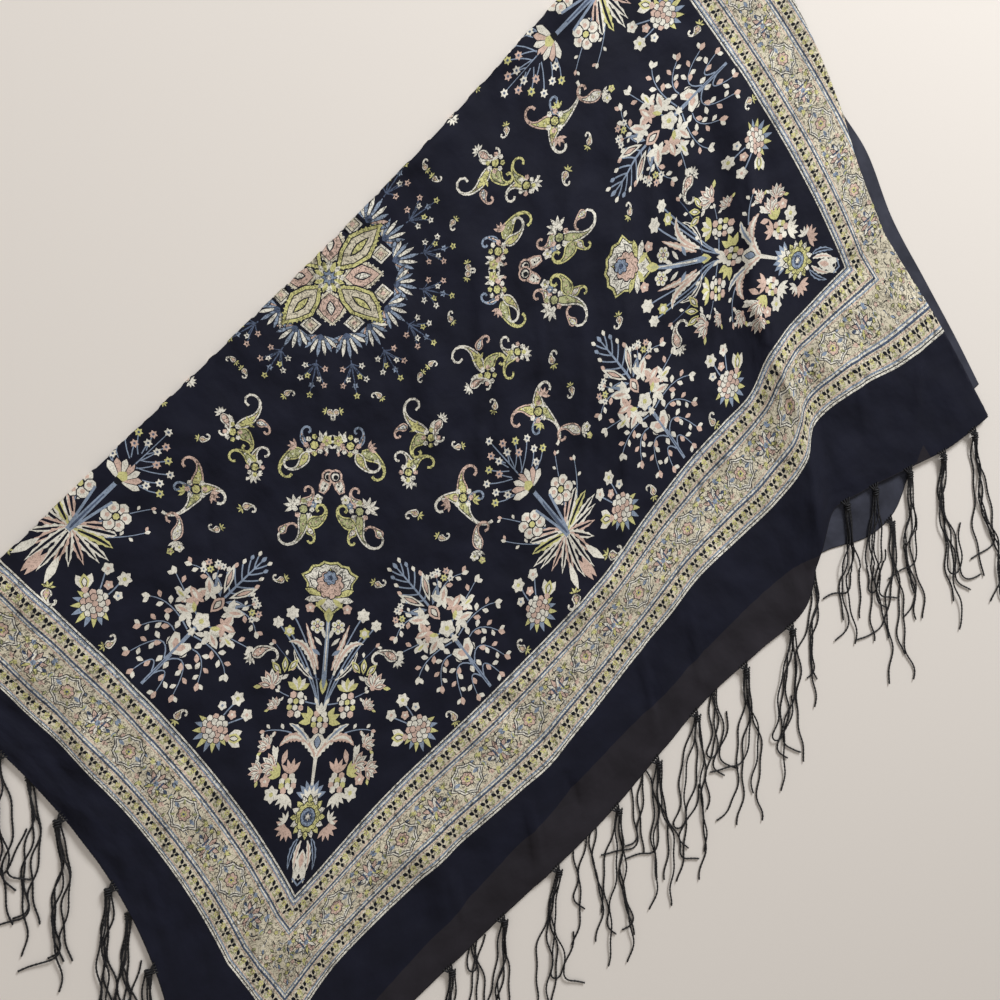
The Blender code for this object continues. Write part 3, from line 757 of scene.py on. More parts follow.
def side_bouquet():
    """Right half of the bouquet at the middle of a side; its mirror image makes the rest."""
    shapes = [band([(0, 190), (0, 232)], 1.1, "blue")]
    heads = ((0, 190), (7, 200), (16, 207), (25, 214), (24, 225), (12, 216), (30, 231), (5, 208), (18, 234))
    for k, (x, y) in enumerate(heads):
        shapes.append(band(bend((0, min(y + 16, 236)), (x * 0.5, y + 12), (x, y), 4), 0.9, "blue"))
        shapes.append(star(x, y, 3.7, BLOSSOM_INKS[k % 4], 6, 0.62))
        shapes.append(disc(x, y, 1.2, "deep_blue", 5))
    shapes += twig((4, 300), (30, 285), (44, 262), 5, 5)
    shapes += twig((4, 296), (22, 262), (34, 245), 4, 4.5)
    for k in range(4):
        line = bend((2, 300 - k * 3), (20 + k * 3, 296 - k * 8), (40 - k * 5, 296 - k * 9), 10)
        shapes += toothed_leaf(line, 8, ("cream", "yellow", "cream", "pink")[k])
    for k in range(5):
        end = (36 - k * 7.5, 302 + k * 9)
        line = bend((1, 298), (12 - k * 2, 300 + k * 3), end, 10)
        shapes += toothed_leaf(line, 7.5, ("cream", "pink", "cream", "pink", "cream")[k])
    shapes += moved(round_flower(12.5, "cream", "pink", "yellow"), 19, 268)
    shapes.append(band([(0, 248), (0, 300)], (3.5, 5), "blue"))
    shapes.append(band([(0, 262), (0, 298)], (1.2, 2), "deep_blue"))
    shapes.append(band(bend((1, 300), (5, 280), (9, 262), 5), 2.2, "blue"))
    shapes += moved(carnation(), 0, 240)
    return shapes + [petal(10, 318, pi / 2 - 0.3, 24, 7, "cream"), petal(2, 322, pi / 2, 24, 6, "pink")]


def flower_tree():
    """A flowering tree on its own axis, from its top at -70 to its foot at 70."""
    twigs = (
        ((2, 30), (20, 12), (33, 38), 7, 7.4, 1.2),
        ((1, 44), (14, 22), (25, 58), 7, 7.4, 1.2),
        ((1, 58), (8, 40), (13, 66), 4, 7.0, 1.2),
        ((4, 16), (30, 8), (44, 18), 6, 7.4, 1.2),
        ((3, 4), (24, -2), (42, -8), 6, 7.4, 1.2),
        ((8, -20), (26, -30), (38, -22), 5, 6.8, 1.1),
        ((2, -14), (14, -22), (20, -34), 4, 4.6, 1.1),
    )
    half = []
    for row in twigs:
        half += twig(*row)
    heads = (
        (24, -38, "cream"), (30, -33, "pink"), (25, -30, "yellow"), (19, -39, "cream"), (29, -26, "cream"),
    )
    for x, y, ink in heads:
        half += [star(x, y, 3.4, ink, 6, 0.6), disc(x, y, 1.0, "deep_blue", 4)]
    for k in range(5):
        y = -66 + k * 7
        half.append(band(bend((0, y + 10), (3 + k, y + 6), (5 + 2.2 * k, y), 3), 1.2, "blue"))
        half += bud(5 + 2.2 * k, y, UP + 0.3, 5.4, ("cream", "blue", "cream", "pink", "cream")[k])
    half += lined_petal(3, -24, UP + 0.45, 26, 6.6, "cream", "pink")
    half += lined_petal(3, -20, UP + 0.95, 17, 5, "blue", "cream")
    half += lobed_leaf(11, -16, UP + 0.9, 14, "cream", "pink")
    half += lobed_leaf(13, 6, UP + 1.9, 13, "cream", "pink")
    half += lobed_leaf(15, -6, UP + 1.3, 12, "pink", "cream")
    half += lobed_leaf(24, 0, UP + 1.6, 10, "cream", "yellow")
    half += [petal(9, 3, UP + 0.9, 9, 4, "yellow"), petal(3, 14, UP + 1.0, 10, 4, "cream")]
    shapes = [band([(0, 70), (0.6, 40), (0, 8)], (2.4, 3.0, 3.4), "blue")]
    shapes.append(band([(0.3, 66), (0.2, 22)], 0.8, "deep_blue"))
    shapes += both_sides(half)
    shapes += [band([(0, -66), (0, -22)], (1.0, 2.2), "blue"), petal(0, -64, UP, 7, 3.6, "blue")]
    shapes += lined_petal(0, -6, UP, 16, 10, "pink", "cream", 0.6)
    shapes += blossom(0, 4, 8, "cream", "yellow")
    cup = np.array([(-10, 24), (-6, 22), (0, 27), (6, 22), (10, 24), (8, 33), (0, 38), (-8, 33)])
    shapes += [Shape(cup * 1.1 - (0, 2.5), "navy"), Shape(cup, "cream")]
    shapes.append(Shape(cup * (0.62, 0.5) + (0, 15), "pink"))
    return shapes + [band([(0, 44), (0, 20)], (2.6, 1.4), "blue"), star(0, 15, 4, "cream", 6, 0.6)]


def daisy_cluster():
    """A daisy with a bell flower beside it and star flowers above."""
    shapes = [band(bend((0, 0), (-4, -14), (-2, -28), 5), 1.1, "blue")]
    shapes += [band(bend((0, 0), (7, -14), (14, -26), 5), 1.1, "blue")]
    shapes += blossom(-3, -30, 6.5, "cream", "yellow", 6)
    shapes += blossom(13, -27, 5.5, "cream", "pink", 5)
    shapes += blossom(3, -18, 4.2, "pink", "cream", 5)
    shapes += blossom(-9, -17, 4.2, "cream", "blue", 5)
    shapes += daisy()
    return shapes + moved(bell(), 17, -5, radians(50), 1.05)


def rose():
    """A full rose seen from the side: a wide scalloped cup over a narrow calyx."""
    side = np.array([
        (0, -22), (6, -23), (10, -20), (16, -19), (19, -14), (25, -11), (20, -4), (20, 2), (13, 8), (11, 15),
        (5, 20),
    ])
    cup = np.concatenate([side, (side[1:] * (-1, 1))[::-1], [(0, 24)]])
    cup = cup[np.argsort(np.arctan2(cup[:, 1], cup[:, 0]))]
    shapes = [Shape(cup, "yellow"), Shape(cup * 0.92, "navy"), Shape(cup * 0.88, "cream")]
    for k in range(9):
        heading = UP + (k - 4) * 0.42
        shapes.append(petal(0, 8, heading, 26 - 0.9 * abs(k - 4), 6.6, "navy", 0.75))
        ink = ("cream", "yellow", "cream")[k % 3]
        shapes.append(petal(0, 8, heading, 25 - 0.9 * abs(k - 4), 5.4, ink, 0.75))
    shapes += [scallop(0, -3, 12.6, 9, 0.16, "navy"), scallop(0, -3, 11.6, 9, 0.16, "pink")]
    shapes += [scallop(0, -9, 6.6, 7, 0.2, "navy"), scallop(0, -9, 5.8, 7, 0.2, "blue")]
    shapes = worked(shapes + [disc(0, -9, 2.4, "deep_blue", 6)])
    shapes += [petal(sign * 12, 16, UP - sign * 0.9, 12, 4.6, "yellow") for sign in (-1, 1)]
    return shapes + [petal(0, 29, UP, 13, 8, "yellow"), petal(0, 28, UP, 8, 3, "green")]


def sunflower():
    shapes = []
    for k in range(16):
        heading = 2 * pi * k / 16
        shapes.append(petal(0, 0, heading, 17.5, 6.6, "navy", 0.72))
        shapes.append(petal(0, 0, heading, 16.6, 5.2, "cream" if k % 2 else "yellow", 0.72))
    shapes += [scallop(0, 0, 12, 12, 0.14, "navy"), scallop(0, 0, 11.2, 12, 0.14, "yellow")]
    shapes += [disc(0, 0, 7.6, "navy", 12), disc(0, 0, 6.8, "blue", 12), disc(0, 0, 4.4, "deep_blue", 10)]
    return worked(shapes + [star(0, 0, 3.2, "cream", 6, 0.5)])


def bubbled(radius, height, inks=("cream", "pink", "cream", "yellow")):
    """An oval flower head made of small round scales."""
    shapes = [Shape(disc(0, 0, 1, "navy", 12).points * (radius + 0.8, height + 0.8), "navy")]
    count = 0
    for row in range(4):
        y = height * (row / 3 * 1.5 - 0.75)
        wide = radius * (1 - (y / (height * 1.25)) ** 2) ** 0.5
        scales = max(int(wide / 2.3), 1)
        for k in range(scales):
            x = (k - (scales - 1) / 2) * 2 * wide / scales
            shapes.append(disc(x, y, min(wide / scales, 3.0) - 0.1, inks[count % len(inks)], 6))
            count += 1
    return shapes


def crowned_flower():
    """An oval scaled flower with a yellow crown of leaves on it."""
    shapes = [petal(0, -8, UP + (k - 2) * 0.5, 10.5, 4.4, ("yellow", "cream")[k % 2], 0.6) for k in range(5)]
    return shapes + moved(bubbled(7.2, 9), 0, 2)


def tulips():
    """A spread of cream and pink tulip petals over one foot."""
    shapes = []
    for k in range(6):
        heading = UP + (k - 2.5) * 0.42
        shapes += lined_petal(0, 4, heading, 15 - abs(k - 2.5), 5.4, ("cream", "pink")[k % 2], "cream")
    shapes += [petal(-9, 1, pi + 0.3, 7, 3.4, "cream"), petal(9, 1, -0.3, 7, 3.4, "yellow")]
    return shapes + [disc(0, 4, 2.4, "pink", 6)]


def acanthus_half():
    """The right-hand acanthus leaf: it rises from the stem and rolls outward, with a saw edge."""
    shapes = toothed_leaf(bend((0, 47), (5, 30), (24, 28), 13), 9, "cream", "pink")
    shapes += toothed_leaf(bend((12, 33), (24, 24), (34, 36), 11), 8, "pink", "cream")
    return shapes + toothed_leaf(bend((8, 34), (17, 22), (27, 19), 9), 6, "cream", "blue")


def corner_bouquet_half():
    """Right half of the bouquet on a diagonal, with the corner downward."""
    shapes = []
    flowers = (((31, -70), (6, -30), 6.2), ((43, -62), (14, -26), 5.2), ((33, -55), (10, -24), 5))
    for end, middle, head in flowers:
        shapes.append(band(bend((2, 8), middle, end, 8), 1.2, "blue"))
        shapes += blossom(*end, head, "cream" if head > 5.1 else "yellow", "pink", 6)
        shapes.append(disc(*end, head * 0.5, "cream", 7))
    shapes += twig((4, -16), (24, -20), (44, -44), 4, 5, 1.1, "deep_blue")
    shapes += blossom(16, -75, 4.6, "pink", "cream") + [petal(12, -84, UP + 0.5, 8, 4, "blue")]
    shapes += moved(round_flower(6.4, "cream", "yellow", "pink"), 9, -60)
    shapes += toothed_leaf(bend((8, -20), (16, -50), (33, -46), 15), 7.4, "cream", "pink")
    shapes += toothed_leaf(bend((6, -24), (12, -42), (19, -62), 13), 5.6, "pink", "cream")
    shapes += toothed_leaf(bend((10, -16), (26, -26), (28, -40), 9), 4.6, "cream")
    for k in range(3):
        shapes += lined_petal(32 + k * 3, -22 + k, UP + (k - 1) * 0.7, 13, 5.6, "yellow", "cream")
    shapes += [petal(2.4, 6, UP + 0.5, 9, 3, "cream"), petal(5, -36, UP + 1.0, 9, 3.6, "blue")]
    shapes += [petal(4, -44, UP + 0.8, 10, 3.2, "cream"), petal(2, -50, UP + 0.3, 9, 3.4, "cream")]
    shapes += moved(tulips(), 46, -14, 0.3)
    shapes += twig((4, 4), (22, 2), (38, -6), 3, 4.5)
    shapes += moved(crowned_flower(), 23, 2, -0.08, 1.1)
    shapes += moved(tulips(), 42, 4, 0.6, 0.62)
    shapes += [petal(6, 17, UP + side, 13, 5.4, "yellow", 0.5) for side in (0.5, 1.1, 1.7)]
    shapes += acanthus_half()
    shapes += twig((24, 26), (38, 22), (48, 24), 4, 5, 1.1, "blue")
    for x, y, turn, size in ((46, 34, 0.9, 0.75), (40, 50, 1.2, 0.95), (52, 54, 1.6, 0.8)):
        shapes += moved(tulips(), x, y, turn, size)
    shapes += moved(bubbled(8.4, 7.0), 23, 64)
    shapes += moved(leaf_comb(5, 12, 1.9, "cream"), 23, 72, pi - 0.4)
    shapes += moved(leaf_comb(4, 12, 1.6, "pink"), 21, 57, 0.1)
    shapes += moved(leaf_comb(4, 11, 1.4, "yellow"), 31, 58, 1.0)
    shapes += blossom(37, 72, 7, "cream", "yellow", 6) + blossom(44, 62, 5, "pink", "cream")
    shapes += [petal(30, 50, UP - 0.3, 12, 5, "pink"), petal(35, 46, UP + 0.4, 12, 5, "cream")]
    shapes += moved(leaf_comb(6, 11, 2.6, "pink"), 19, 96, 2.5)
    shapes += moved(leaf_comb(4, 8, 2.0, "cream"), 20, 92, 0.9)
    shapes += toothed_leaf(bend((6, 104), (13, 112), (12, 127), 9), 5, "blue")
    shapes += toothed_leaf(bend((3, 106), (8, 116), (6, 128), 9), 5, "cream", "pink")
    return shapes + [petal(1, 120, pi / 2 - 0.25, 17, 6, "cream")]


def corner_bouquet():
    shapes = [band([(0, -72), (0, -12)], (3, 4.4), "blue"), band([(0, -70), (0, -14)], (0.8, 1.2), "cream")]
    shapes += both_sides(corner_bouquet_half())
    shapes += moved(rose(), 0, -92)
    shapes += [petal(0, -4, UP, 16, 7, "yellow"), petal(0, -8, UP, 16, 4, "blue")]
    shapes += moved(bubbled(8, 8.6), 0, 18) + [petal(0, 12, UP + k * 0.5, 10, 4, "cream") for k in (-1, 0, 1)]
    shapes += [disc(0, 33, 6.4, "cream", 10), petal(0, 39, UP, 11, 7, "navy")]
    shapes.append(petal(0, 38, UP, 9.4, 5.4, "blue"))
    shapes += moved(leaf_comb(7, 15, 2.4, "blue"), 0, 76) + [band([(0, 46), (0, 66)], (3.4, 2.4), "cream")]
    shapes += moved(leaf_comb(6, 12, 2.0, "cream"), 0, 78) + moved(sunflower(), 0, 89)
    shapes += [petal(0, 112, pi / 2, 18, 10, "cream"), petal(0, 114, pi / 2, 12, 5, "pink")]
    shapes.append(band([(-6, 133), (0, 138), (6, 133)], 1.6, "blue"))
    shapes.append(band([(-5, 130), (0, 134), (5, 130)], 0.8, "cream"))
    return moved(shapes, DIAGONAL_PLACE, DIAGONAL_PLACE, radians(-45))


def in_corners(shapes):
    """The copies of a diagonal motif in the square's four corners."""
    signs = ((1, 1), (-1, 1), (1, -1), (-1, -1))
    return [shape._replace(points=shape.points * sign) for sign in signs for shape in shapes]


def panel():
    shapes = all_round(scattered()) + all_round(side_bouquet())
    shapes += all_round(moved(flower_tree(), *TREE_PLACE))
    for along, down, flip in DAISIES:
        shapes += all_round(moved(daisy_cluster(), along, down, 0, 0.95, flip))
    return shapes + in_corners(corner_bouquet()) + medallion()


# Border: a light band printed about the panel, with a row of dark leaves in each guard and lotus
# flowers between cartouches in the middle. Its lines are mitred at the corners.
Stripe = namedtuple("Stripe", "start end ink")
STRIPES = [Stripe(*row) for row in (
    (350.0, 351.4, "cream"),
    (352.2, 353.4, "blue"),
    (353.4, 354.8, "cream"),
    (354.8, 356.2, "blue"),
    (356.2, 368.8, "beige"),
    (356.2, 357.0, "pink"),
    (366.8, 367.8, "pink"),
    (368.8, 370.4, "deep_blue"),
    (370.4, 371.6, "cream"),
    (371.6, 372.6, "blue"),
    (372.6, 405.0, "beige"),
    (373.4, 374.2, "pink"),
    (403.0, 403.8, "pink"),
    (405.0, 406.2, "blue"),
    (406.2, 407.6, "cream"),
    (407.6, 409.4, "deep_blue"),
    (409.4, 422.6, "beige"),
    (410.2, 411.0, "pink"),
    (421.2, 422.0, "pink"),
    (422.6, 424.0, "blue"),
    (424.0, 425.2, "cream"),
    (426.0, 427.6, "cream"),
)]
LEAF_SPACE = 11.6
LEAF_ROWS = (362.0, 416.0)
BAND_MIDDLE = 389.0
BAND_REPEAT = 70.0
FIRST_LOTUS = -15.0
FILLINGS = 22
FILLING_REPEAT = 35.0
FILLING_HEIGHT = 26.0
TAIL_END = -31.0
MARGIN_START = 428.0
HEM_DOWN = 500.0
ALONE_START = -480.0
ALONE_END = 330.0
ALONE_STEP = 0.5


def stripe_sides(stripe):
    """One stripe as mitred strips: on the panel's lower side, its left side and its right side."""
    steps = np.arange(-stripe.end, stripe.end + SEGMENT, SEGMENT).clip(-stripe.end, stripe.end)
    inner = np.clip(steps, -stripe.start, stripe.start)
    outer_line = np.stack([steps, np.full_like(steps, stripe.end)], axis=1)
    inner_line = np.stack([inner, np.full_like(steps, stripe.start)], axis=1)
    keep = np.r_[True, np.any(np.diff(inner_line, axis=0) != 0, axis=1)]
    lower = Shape(np.concatenate([outer_line, inner_line[keep][::-1]]), stripe.ink)
    left = Shape(lower.points[:, ::-1] * (-1, 1), stripe.ink)
    right = Shape(lower.points[:, ::-1], stripe.ink)
    return [lower, left, right]


def leaf_pair():
    """One repeat of a guard's row: two dark leaves, a yellow blossom and a green twig."""
    shapes = [petal(-0.6, 0.6, UP - 0.6, 5.2, 3.4, "black"), petal(0.6, 0.6, UP + 0.6, 5.2, 3.4, "black")]
    shapes.append(petal(0, 0.4, pi / 2, 4.6, 2.6, "black"))
    shapes += [star(5.8, -1.0, 3.1, "yellow", 5, 0.6), disc(5.8, -1.0, 0.9, "pink", 4)]
    shapes += [petal(2.4, 3.4, 0.1, 5, 1.8, "green"), petal(7.6, 3.2, -2.5, 3, 1.6, "green")]
    return shapes + [disc(3.0, -3.8, 0.9, "cream", 4), disc(8.6, -3.6, 0.9, "cream", 4)]


def lotus():
    """The middle band's lotus: pink petals over blue bars, between curled twigs."""
    shapes = []
    for k in range(7):
        heading = UP + (k - 3) * 0.5
        shapes.append(petal(0, 2, heading, 12.6, 4.8, "navy", 0.6))
        shapes.append(petal(0, 2, heading, 11.6, 3.6, "pink" if k % 2 else "cream", 0.6))
    for k in range(5):
        heading = pi / 2 + (k - 2) * 0.5
        shapes.append(petal(0, 1, heading, 11, 3.4, "navy", 0.6))
        shapes.append(petal(0, 1, heading, 10, 2.4, ("yellow", "cream", "pink")[k % 3], 0.6))
    for side in (-1, 1):
        shapes.append(band([(side * 4.2, -4), (side * 4.2, 4)], 1.6, "deep_blue"))
        shapes.append(band(bend((side * 3, 12), (side * 15, 13), (side * 16, 3), 5), 0.9, "navy"))
        shapes.append(band(bend((side * 3, -12), (side * 15, -14), (side * 17, -4), 5), 0.9, "navy"))
        shapes += [petal(side * 16, 2, UP, 5, 2.6, "blue"), petal(side * 17, -3, pi / 2, 5, 2.6, "green")]
        shapes += [star(side * 10, 11, 2.6, "yellow", 5, 0.6), star(side * 11, -11, 2.6, "blue", 5, 0.6)]
        shapes += [petal(side * 8, 0, 0 if side > 0 else pi, 5, 3, "deep_blue")]
    return shapes + [disc(0, 1, 2.4, "blue", 6)]


def cartouche():
    """The middle band's pale cartouche: a lobed diamond with a double dark line and flowers in it."""
    frame_line = np.array([(-17, 0), (-12, -4), (-10, -9), (-4, -11), (0, -14), (4, -11), (10, -9), (12, -4)])
    outline = np.concatenate([frame_line, -frame_line])
    shapes = []
    for size, ink in ((1.06, "navy"), (1.0, "cream"), (0.9, "navy"), (0.84, "cream"), (0.76, "beige")):
        shapes.append(Shape(outline * size, ink))
    shapes += [scallop(0, 0, 6.4, 7, 0.2, "navy"), scallop(0, 0, 5.6, 7, 0.2, "pink")]
    shapes += [star(0, 0, 3.6, "yellow", 6, 0.6), disc(0, 0, 1.2, "deep_blue", 5)]
    for side in (-1, 1):
        shapes.append(petal(side * 6.5, -1, 0 if side > 0 else pi, 6.5, 3.4, "blue"))
        shapes.append(petal(side * 5, -5, UP + side * 0.8, 5, 2.4, "green"))
        shapes.append(petal(side * 5, 5, pi / 2 - side * 0.8, 5, 2.4, "green"))
        shapes += [star(side * 19.5, 9, 2.6, "pink", 5, 0.6), star(side * 19.5, -9, 2.6, "yellow", 5, 0.6)]
    return shapes


def filling():
    """Twigs, leaves and small blossoms that close the ground between the middle band's motifs."""
    shapes = []
    for k in range(FILLINGS):
        x = FILLING_REPEAT * ((k * 0.618) % 1 - 0.5)
        y = (k - (FILLINGS - 1) / 2) / (FILLINGS - 1) * FILLING_HEIGHT
        heading = k * 2.4
        if k % 3 == 0:
            ink = ("yellow", "cream", "pink")[k % 4 % 3]
            shapes += [star(x, y, 2.7, "navy", 5, 0.6), star(x, y, 2.1, ink, 5, 0.6)]
        elif k % 3 == 1:
            ink = ("blue", "green")[k % 2]
            shapes += [petal(x, y, heading, 5.4, 2.8, "navy"), petal(x, y, heading, 4.8, 1.8, ink)]
        else:
            reach = (x + 4.5 * cos(heading), y + 4.5 * sin(heading))
            shapes.append(band(bend((x, y), (reach[0], y), reach, 3), 0.8, ("navy", "deep_blue")[k % 2]))
            shapes.append(disc(*reach, 1.1, ("pink", "cream")[k % 2], 5))
    return shapes


def along_band(motif, start, repeat, level, ends):
    """A motif repeated along the lower border and along both side borders."""
    shapes = []
    first = int(np.ceil((-ends - start) / repeat))
    for k in range(first, int((ends - start) / repeat) + 1):
        placed = moved(motif, start + k * repeat, level)
        shapes += placed
        if start + k * repeat > TAIL_END - repeat / 2:
            shapes += [shape._replace(points=shape.points[:, ::-1] * (-1, 1)) for shape in placed]
            shapes += [shape._replace(points=shape.points[:, ::-1]) for shape in placed]
    return shapes


def alone_on_table():
    """The plain margin past the under half's hem: one layer only, and a little browner."""
    alongs = np.arange(ALONE_START, ALONE_END, SEGMENT)
    downs = np.arange(MARGIN_START, HEM_DOWN + ALONE_STEP / 5, ALONE_STEP)
    hem = [(along, HEM_DOWN) for along in alongs]
    edge = []
    for along in alongs:
        spots = lay_upper(np.full_like(downs, along * MM), downs * MM)
        past = spots[:, 1] < under_hem_y(spots[:, 0])
        edge.append((along, downs[past.argmax()] if past.any() else HEM_DOWN - ALONE_STEP))
    return Shape(np.array(edge + hem[::-1]), "sheer_navy")


def border():
    shapes = []
    for stripe in STRIPES:
        shapes += stripe_sides(stripe)
    for level in LEAF_ROWS:
        shapes += along_band(leaf_pair(), LEAF_SPACE / 2, LEAF_SPACE, level, level - 6)
    shapes += along_band(filling(), 0, FILLING_REPEAT, BAND_MIDDLE, BAND_MIDDLE + 2)
    for motif, start in ((lotus(), FIRST_LOTUS), (cartouche(), FIRST_LOTUS + BAND_REPEAT / 2)):
        shapes += along_band(motif, start, BAND_REPEAT, BAND_MIDDLE, BAND_MIDDLE - 22)
    return [alone_on_table()] + worked(shapes)


# Printed half of the square: a thin shell on the form of the model's upper layer. The weave is fine
# and soft, and the inks are flat in it, so the colours are laid into the sheet and not raised.
FIELD_HALF = 350.0
SMALLEST_PIECE = 0.02
CUT_TOLERANCE = 0.01
NORMAL_STEP = 0.6 * MM
GRID = 5.0
SIDE_STEP = 5.0
DRIFT = 8.0
DRIFT_HALF_WIDTH = 130.0
DRIFT_START = 50.0
DRIFT_END = 335.0


def run_of(start, end):
    """Places from start to end, a few millimetres apart and the same both ways."""
    low = min(start, end)
    steps = max(int(round(abs(end - start) / SIDE_STEP)), 1)
    places = low + abs(end - start) * np.arange(steps + 1) / steps
    return places if end > start else places[::-1]


def field_outline():
    """The printed panel, with the stretch of it that runs round the fold."""
    downs = run_of(TAIL_END, FIELD_HALF)
    alongs = run_of(-FIELD_HALF, FIELD_HALF)
    right = [(FIELD_HALF, down) for down in downs]
    low = [(along, FIELD_HALF) for along in alongs[::-1]]
    left = [(-FIELD_HALF, down) for down in downs[::-1]]
    top = [(along, TAIL_END) for along in alongs]
    return Shape(np.array(right[1:] + low[1:] + left[1:] + top[1:]), "navy")


def border_outline():
    """The border and the plain margin: the rest of the half square, out to its hems."""
    downs = run_of(TAIL_END, HEM_DOWN)
    right = [(float(turn_along(max(down * MM, -FOLD_UP))) / MM, down) for down in downs]
    low = [(along, HEM_DOWN) for along in run_of(right[-1][0], -HEM_DOWN)]
    left = [(-HEM_DOWN, down) for down in downs[::-1]]
    top_left = [(along, TAIL_END) for along in run_of(-HEM_DOWN, -FIELD_HALF)]
    top_right = [(along, TAIL_END) for along in run_of(FIELD_HALF, right[0][0])]
    seam_left = [(-FIELD_HALF, down) for down in run_of(TAIL_END, FIELD_HALF)]
    seam_low = [(along, FIELD_HALF) for along in run_of(-FIELD_HALF, FIELD_HALF)]
    seam_right = [(FIELD_HALF, down) for down in run_of(FIELD_HALF, TAIL_END)]
    sides = (right, low, left, top_left, seam_left, seam_low, seam_right, top_right)
    return Shape(np.array([point for side in sides for point in side[1:]]), "navy")


def area_of(points):
    """An outline's area, above zero where it runs anticlockwise."""
    x, y = points[..., 0], points[..., 1]
    return np.sum(x * np.roll(y, -1, -1) - y * np.roll(x, -1, -1), axis=-1) / 2


def turned_left(points):
    return points if area_of(points) > 0 else points[::-1]


def weave_drift(flat):
    """Near the middle of the long side the weave is pushed a little along the fold."""
    along, down = flat.T
    rise = soft_step(down / DRIFT_START) * soft_step((DRIFT_END - down) / DRIFT_START)
    aside = 1 - soft_step(np.abs(along) / DRIFT_HALF_WIDTH)
    return np.stack([along + DRIFT * rise * aside, down], axis=1)


def outlines_of(shape):
    """A shape's outlines: a stroke is cut into the short pieces between its points."""
    if not shape.is_stroke:
        return [turned_left(shape.points)]
    count = len(shape.points) // 2
    first = shape.points[:count]
    second = shape.points[count:][::-1]
    pieces = []
    for i in range(count - 1):
        corners = [Vector(point) for point in (first[i], first[i + 1], second[i + 1], second[i])]
        hull = np.array([corners[k][:] for k in convex_hull_2d(corners)])
        if len(hull) > 2 and abs(area_of(hull)) > SMALLEST_PIECE:
            pieces.append(turned_left(hull))
    return pieces


def top_ink(corner_points, owners, outlines):
    """For each triangle, the last outline printed over it. An outline too thin to enclose its own
    area, whose owned triangles come to far more, is left out."""
    owned = np.zeros(len(outlines))
    triangle_areas = np.abs(area_of(corner_points))
    for area, owner in zip(triangle_areas, owners):
        for number in owner:
            owned[number] += area
    spilled = owned > 1.3 * np.array([area_of(points) for points in outlines]) + 1.0
    spilled[0] = False
    return [max((number for number in owner if not spilled[number]), default=-1) for owner in owners]


def printed_mesh(name, outline, shapes):
    """Cuts the flat cloth along every printed outline, colours the parts, and lays them down."""
    low = outline.points.min(axis=0)
    high = outline.points.max(axis=0)
    places = []
    faces = []
    outlines = []
    kept = []
    for shape in [outline] + shapes:
        if (shape.points < low).any(axis=1).all() or (shape.points > high).any(axis=1).all():
            continue
        for points in outlines_of(shape):
            faces.append(list(range(len(places), len(places) + len(points))))
            places.extend(points)
            outlines.append(points)
            kept.append(shape.ink)
    rows = np.arange(low[1] + GRID / 2, high[1], GRID)
    columns = np.arange(low[0] + GRID / 2, high[0], GRID)
    for number, down in enumerate(rows):
        places.extend((along + GRID / 4 * (-1) ** number, down) for along in columns)
    flat = [Vector(place) for place in places]
    verts, _, triangles, _, _, owners = delaunay_2d_cdt(flat, [], faces, 0, CUT_TOLERANCE, True)
    verts = np.array([vert[:] for vert in verts])
    tops = top_ink(verts[np.array(triangles)], owners, outlines)
    inside = [number for number, owner in enumerate(owners) if 0 in owner]
    corners = np.array([triangles[number][::-1] for number in inside])
    inks = [kept[tops[number]] for number in inside]
    used, corners = np.unique(corners, return_inverse=True)
    corners = corners.reshape(-1, 3)
    flat = weave_drift(verts[used]) * MM
    spots = lay_upper(flat[:, 0], flat[:, 1]) + np.array(MEDALLION)
    mesh = bpy.data.meshes.new(name)
    mesh.from_pydata(spots, [], corners)
    colour = mesh.color_attributes.new("print_colour", "FLOAT_COLOR", "CORNER")
    palette = {ink: [linear(channel) for channel in INKS[ink]] + [0.0] for ink in INKS}
    palette.update({"worked_" + ink: palette[ink][:3] + [1.0] for ink in INKS})
    colour.data.foreach_set("color", np.repeat([palette[ink] for ink in inks], 3, axis=0).ravel())
    uv = mesh.uv_layers.new(name="flat_cloth")
    uv.data.foreach_set("uv", flat[corners.ravel()].ravel())
    set_smooth_normals(mesh, flat)
    return mesh


def set_smooth_normals(mesh, flat):
    """Normals of the laid cloth itself, so that the cuts between inks don't show in its shading."""
    step = NORMAL_STEP
    along, down = flat.T
    across = lay_upper(along + step, down) - lay_upper(along - step, down)
    below = lay_upper(along, down + step) - lay_upper(along, down - step)
    normal = np.cross(across, -below)
    normal /= np.maximum(np.linalg.norm(normal, axis=1, keepdims=True), 1e-12)
    mesh.shade_smooth()
    mesh.normals_split_custom_set_from_vertices(normal)


def new_material(name, roughness):
    """A material and its shader."""
    material = bpy.data.materials.new(name)
    material.use_nodes = True
    shader = material.node_tree.nodes["Principled BSDF"]
    shader.inputs["Roughness"].default_value = roughness
    return material, shader


def joined(tree, kind, inputs, **settings):
    """A new node with its settings and its inputs, each a plain value or another node's output."""
    node = tree.nodes.new("ShaderNode" + kind)
    for name, value in settings.items():
        setattr(node, name, value)
    for name, value in inputs.items():
        if isinstance(value, bpy.types.NodeSocket):
            tree.links.new(value, node.inputs[name])
        else:
            node.inputs[name].default_value = value
    return node


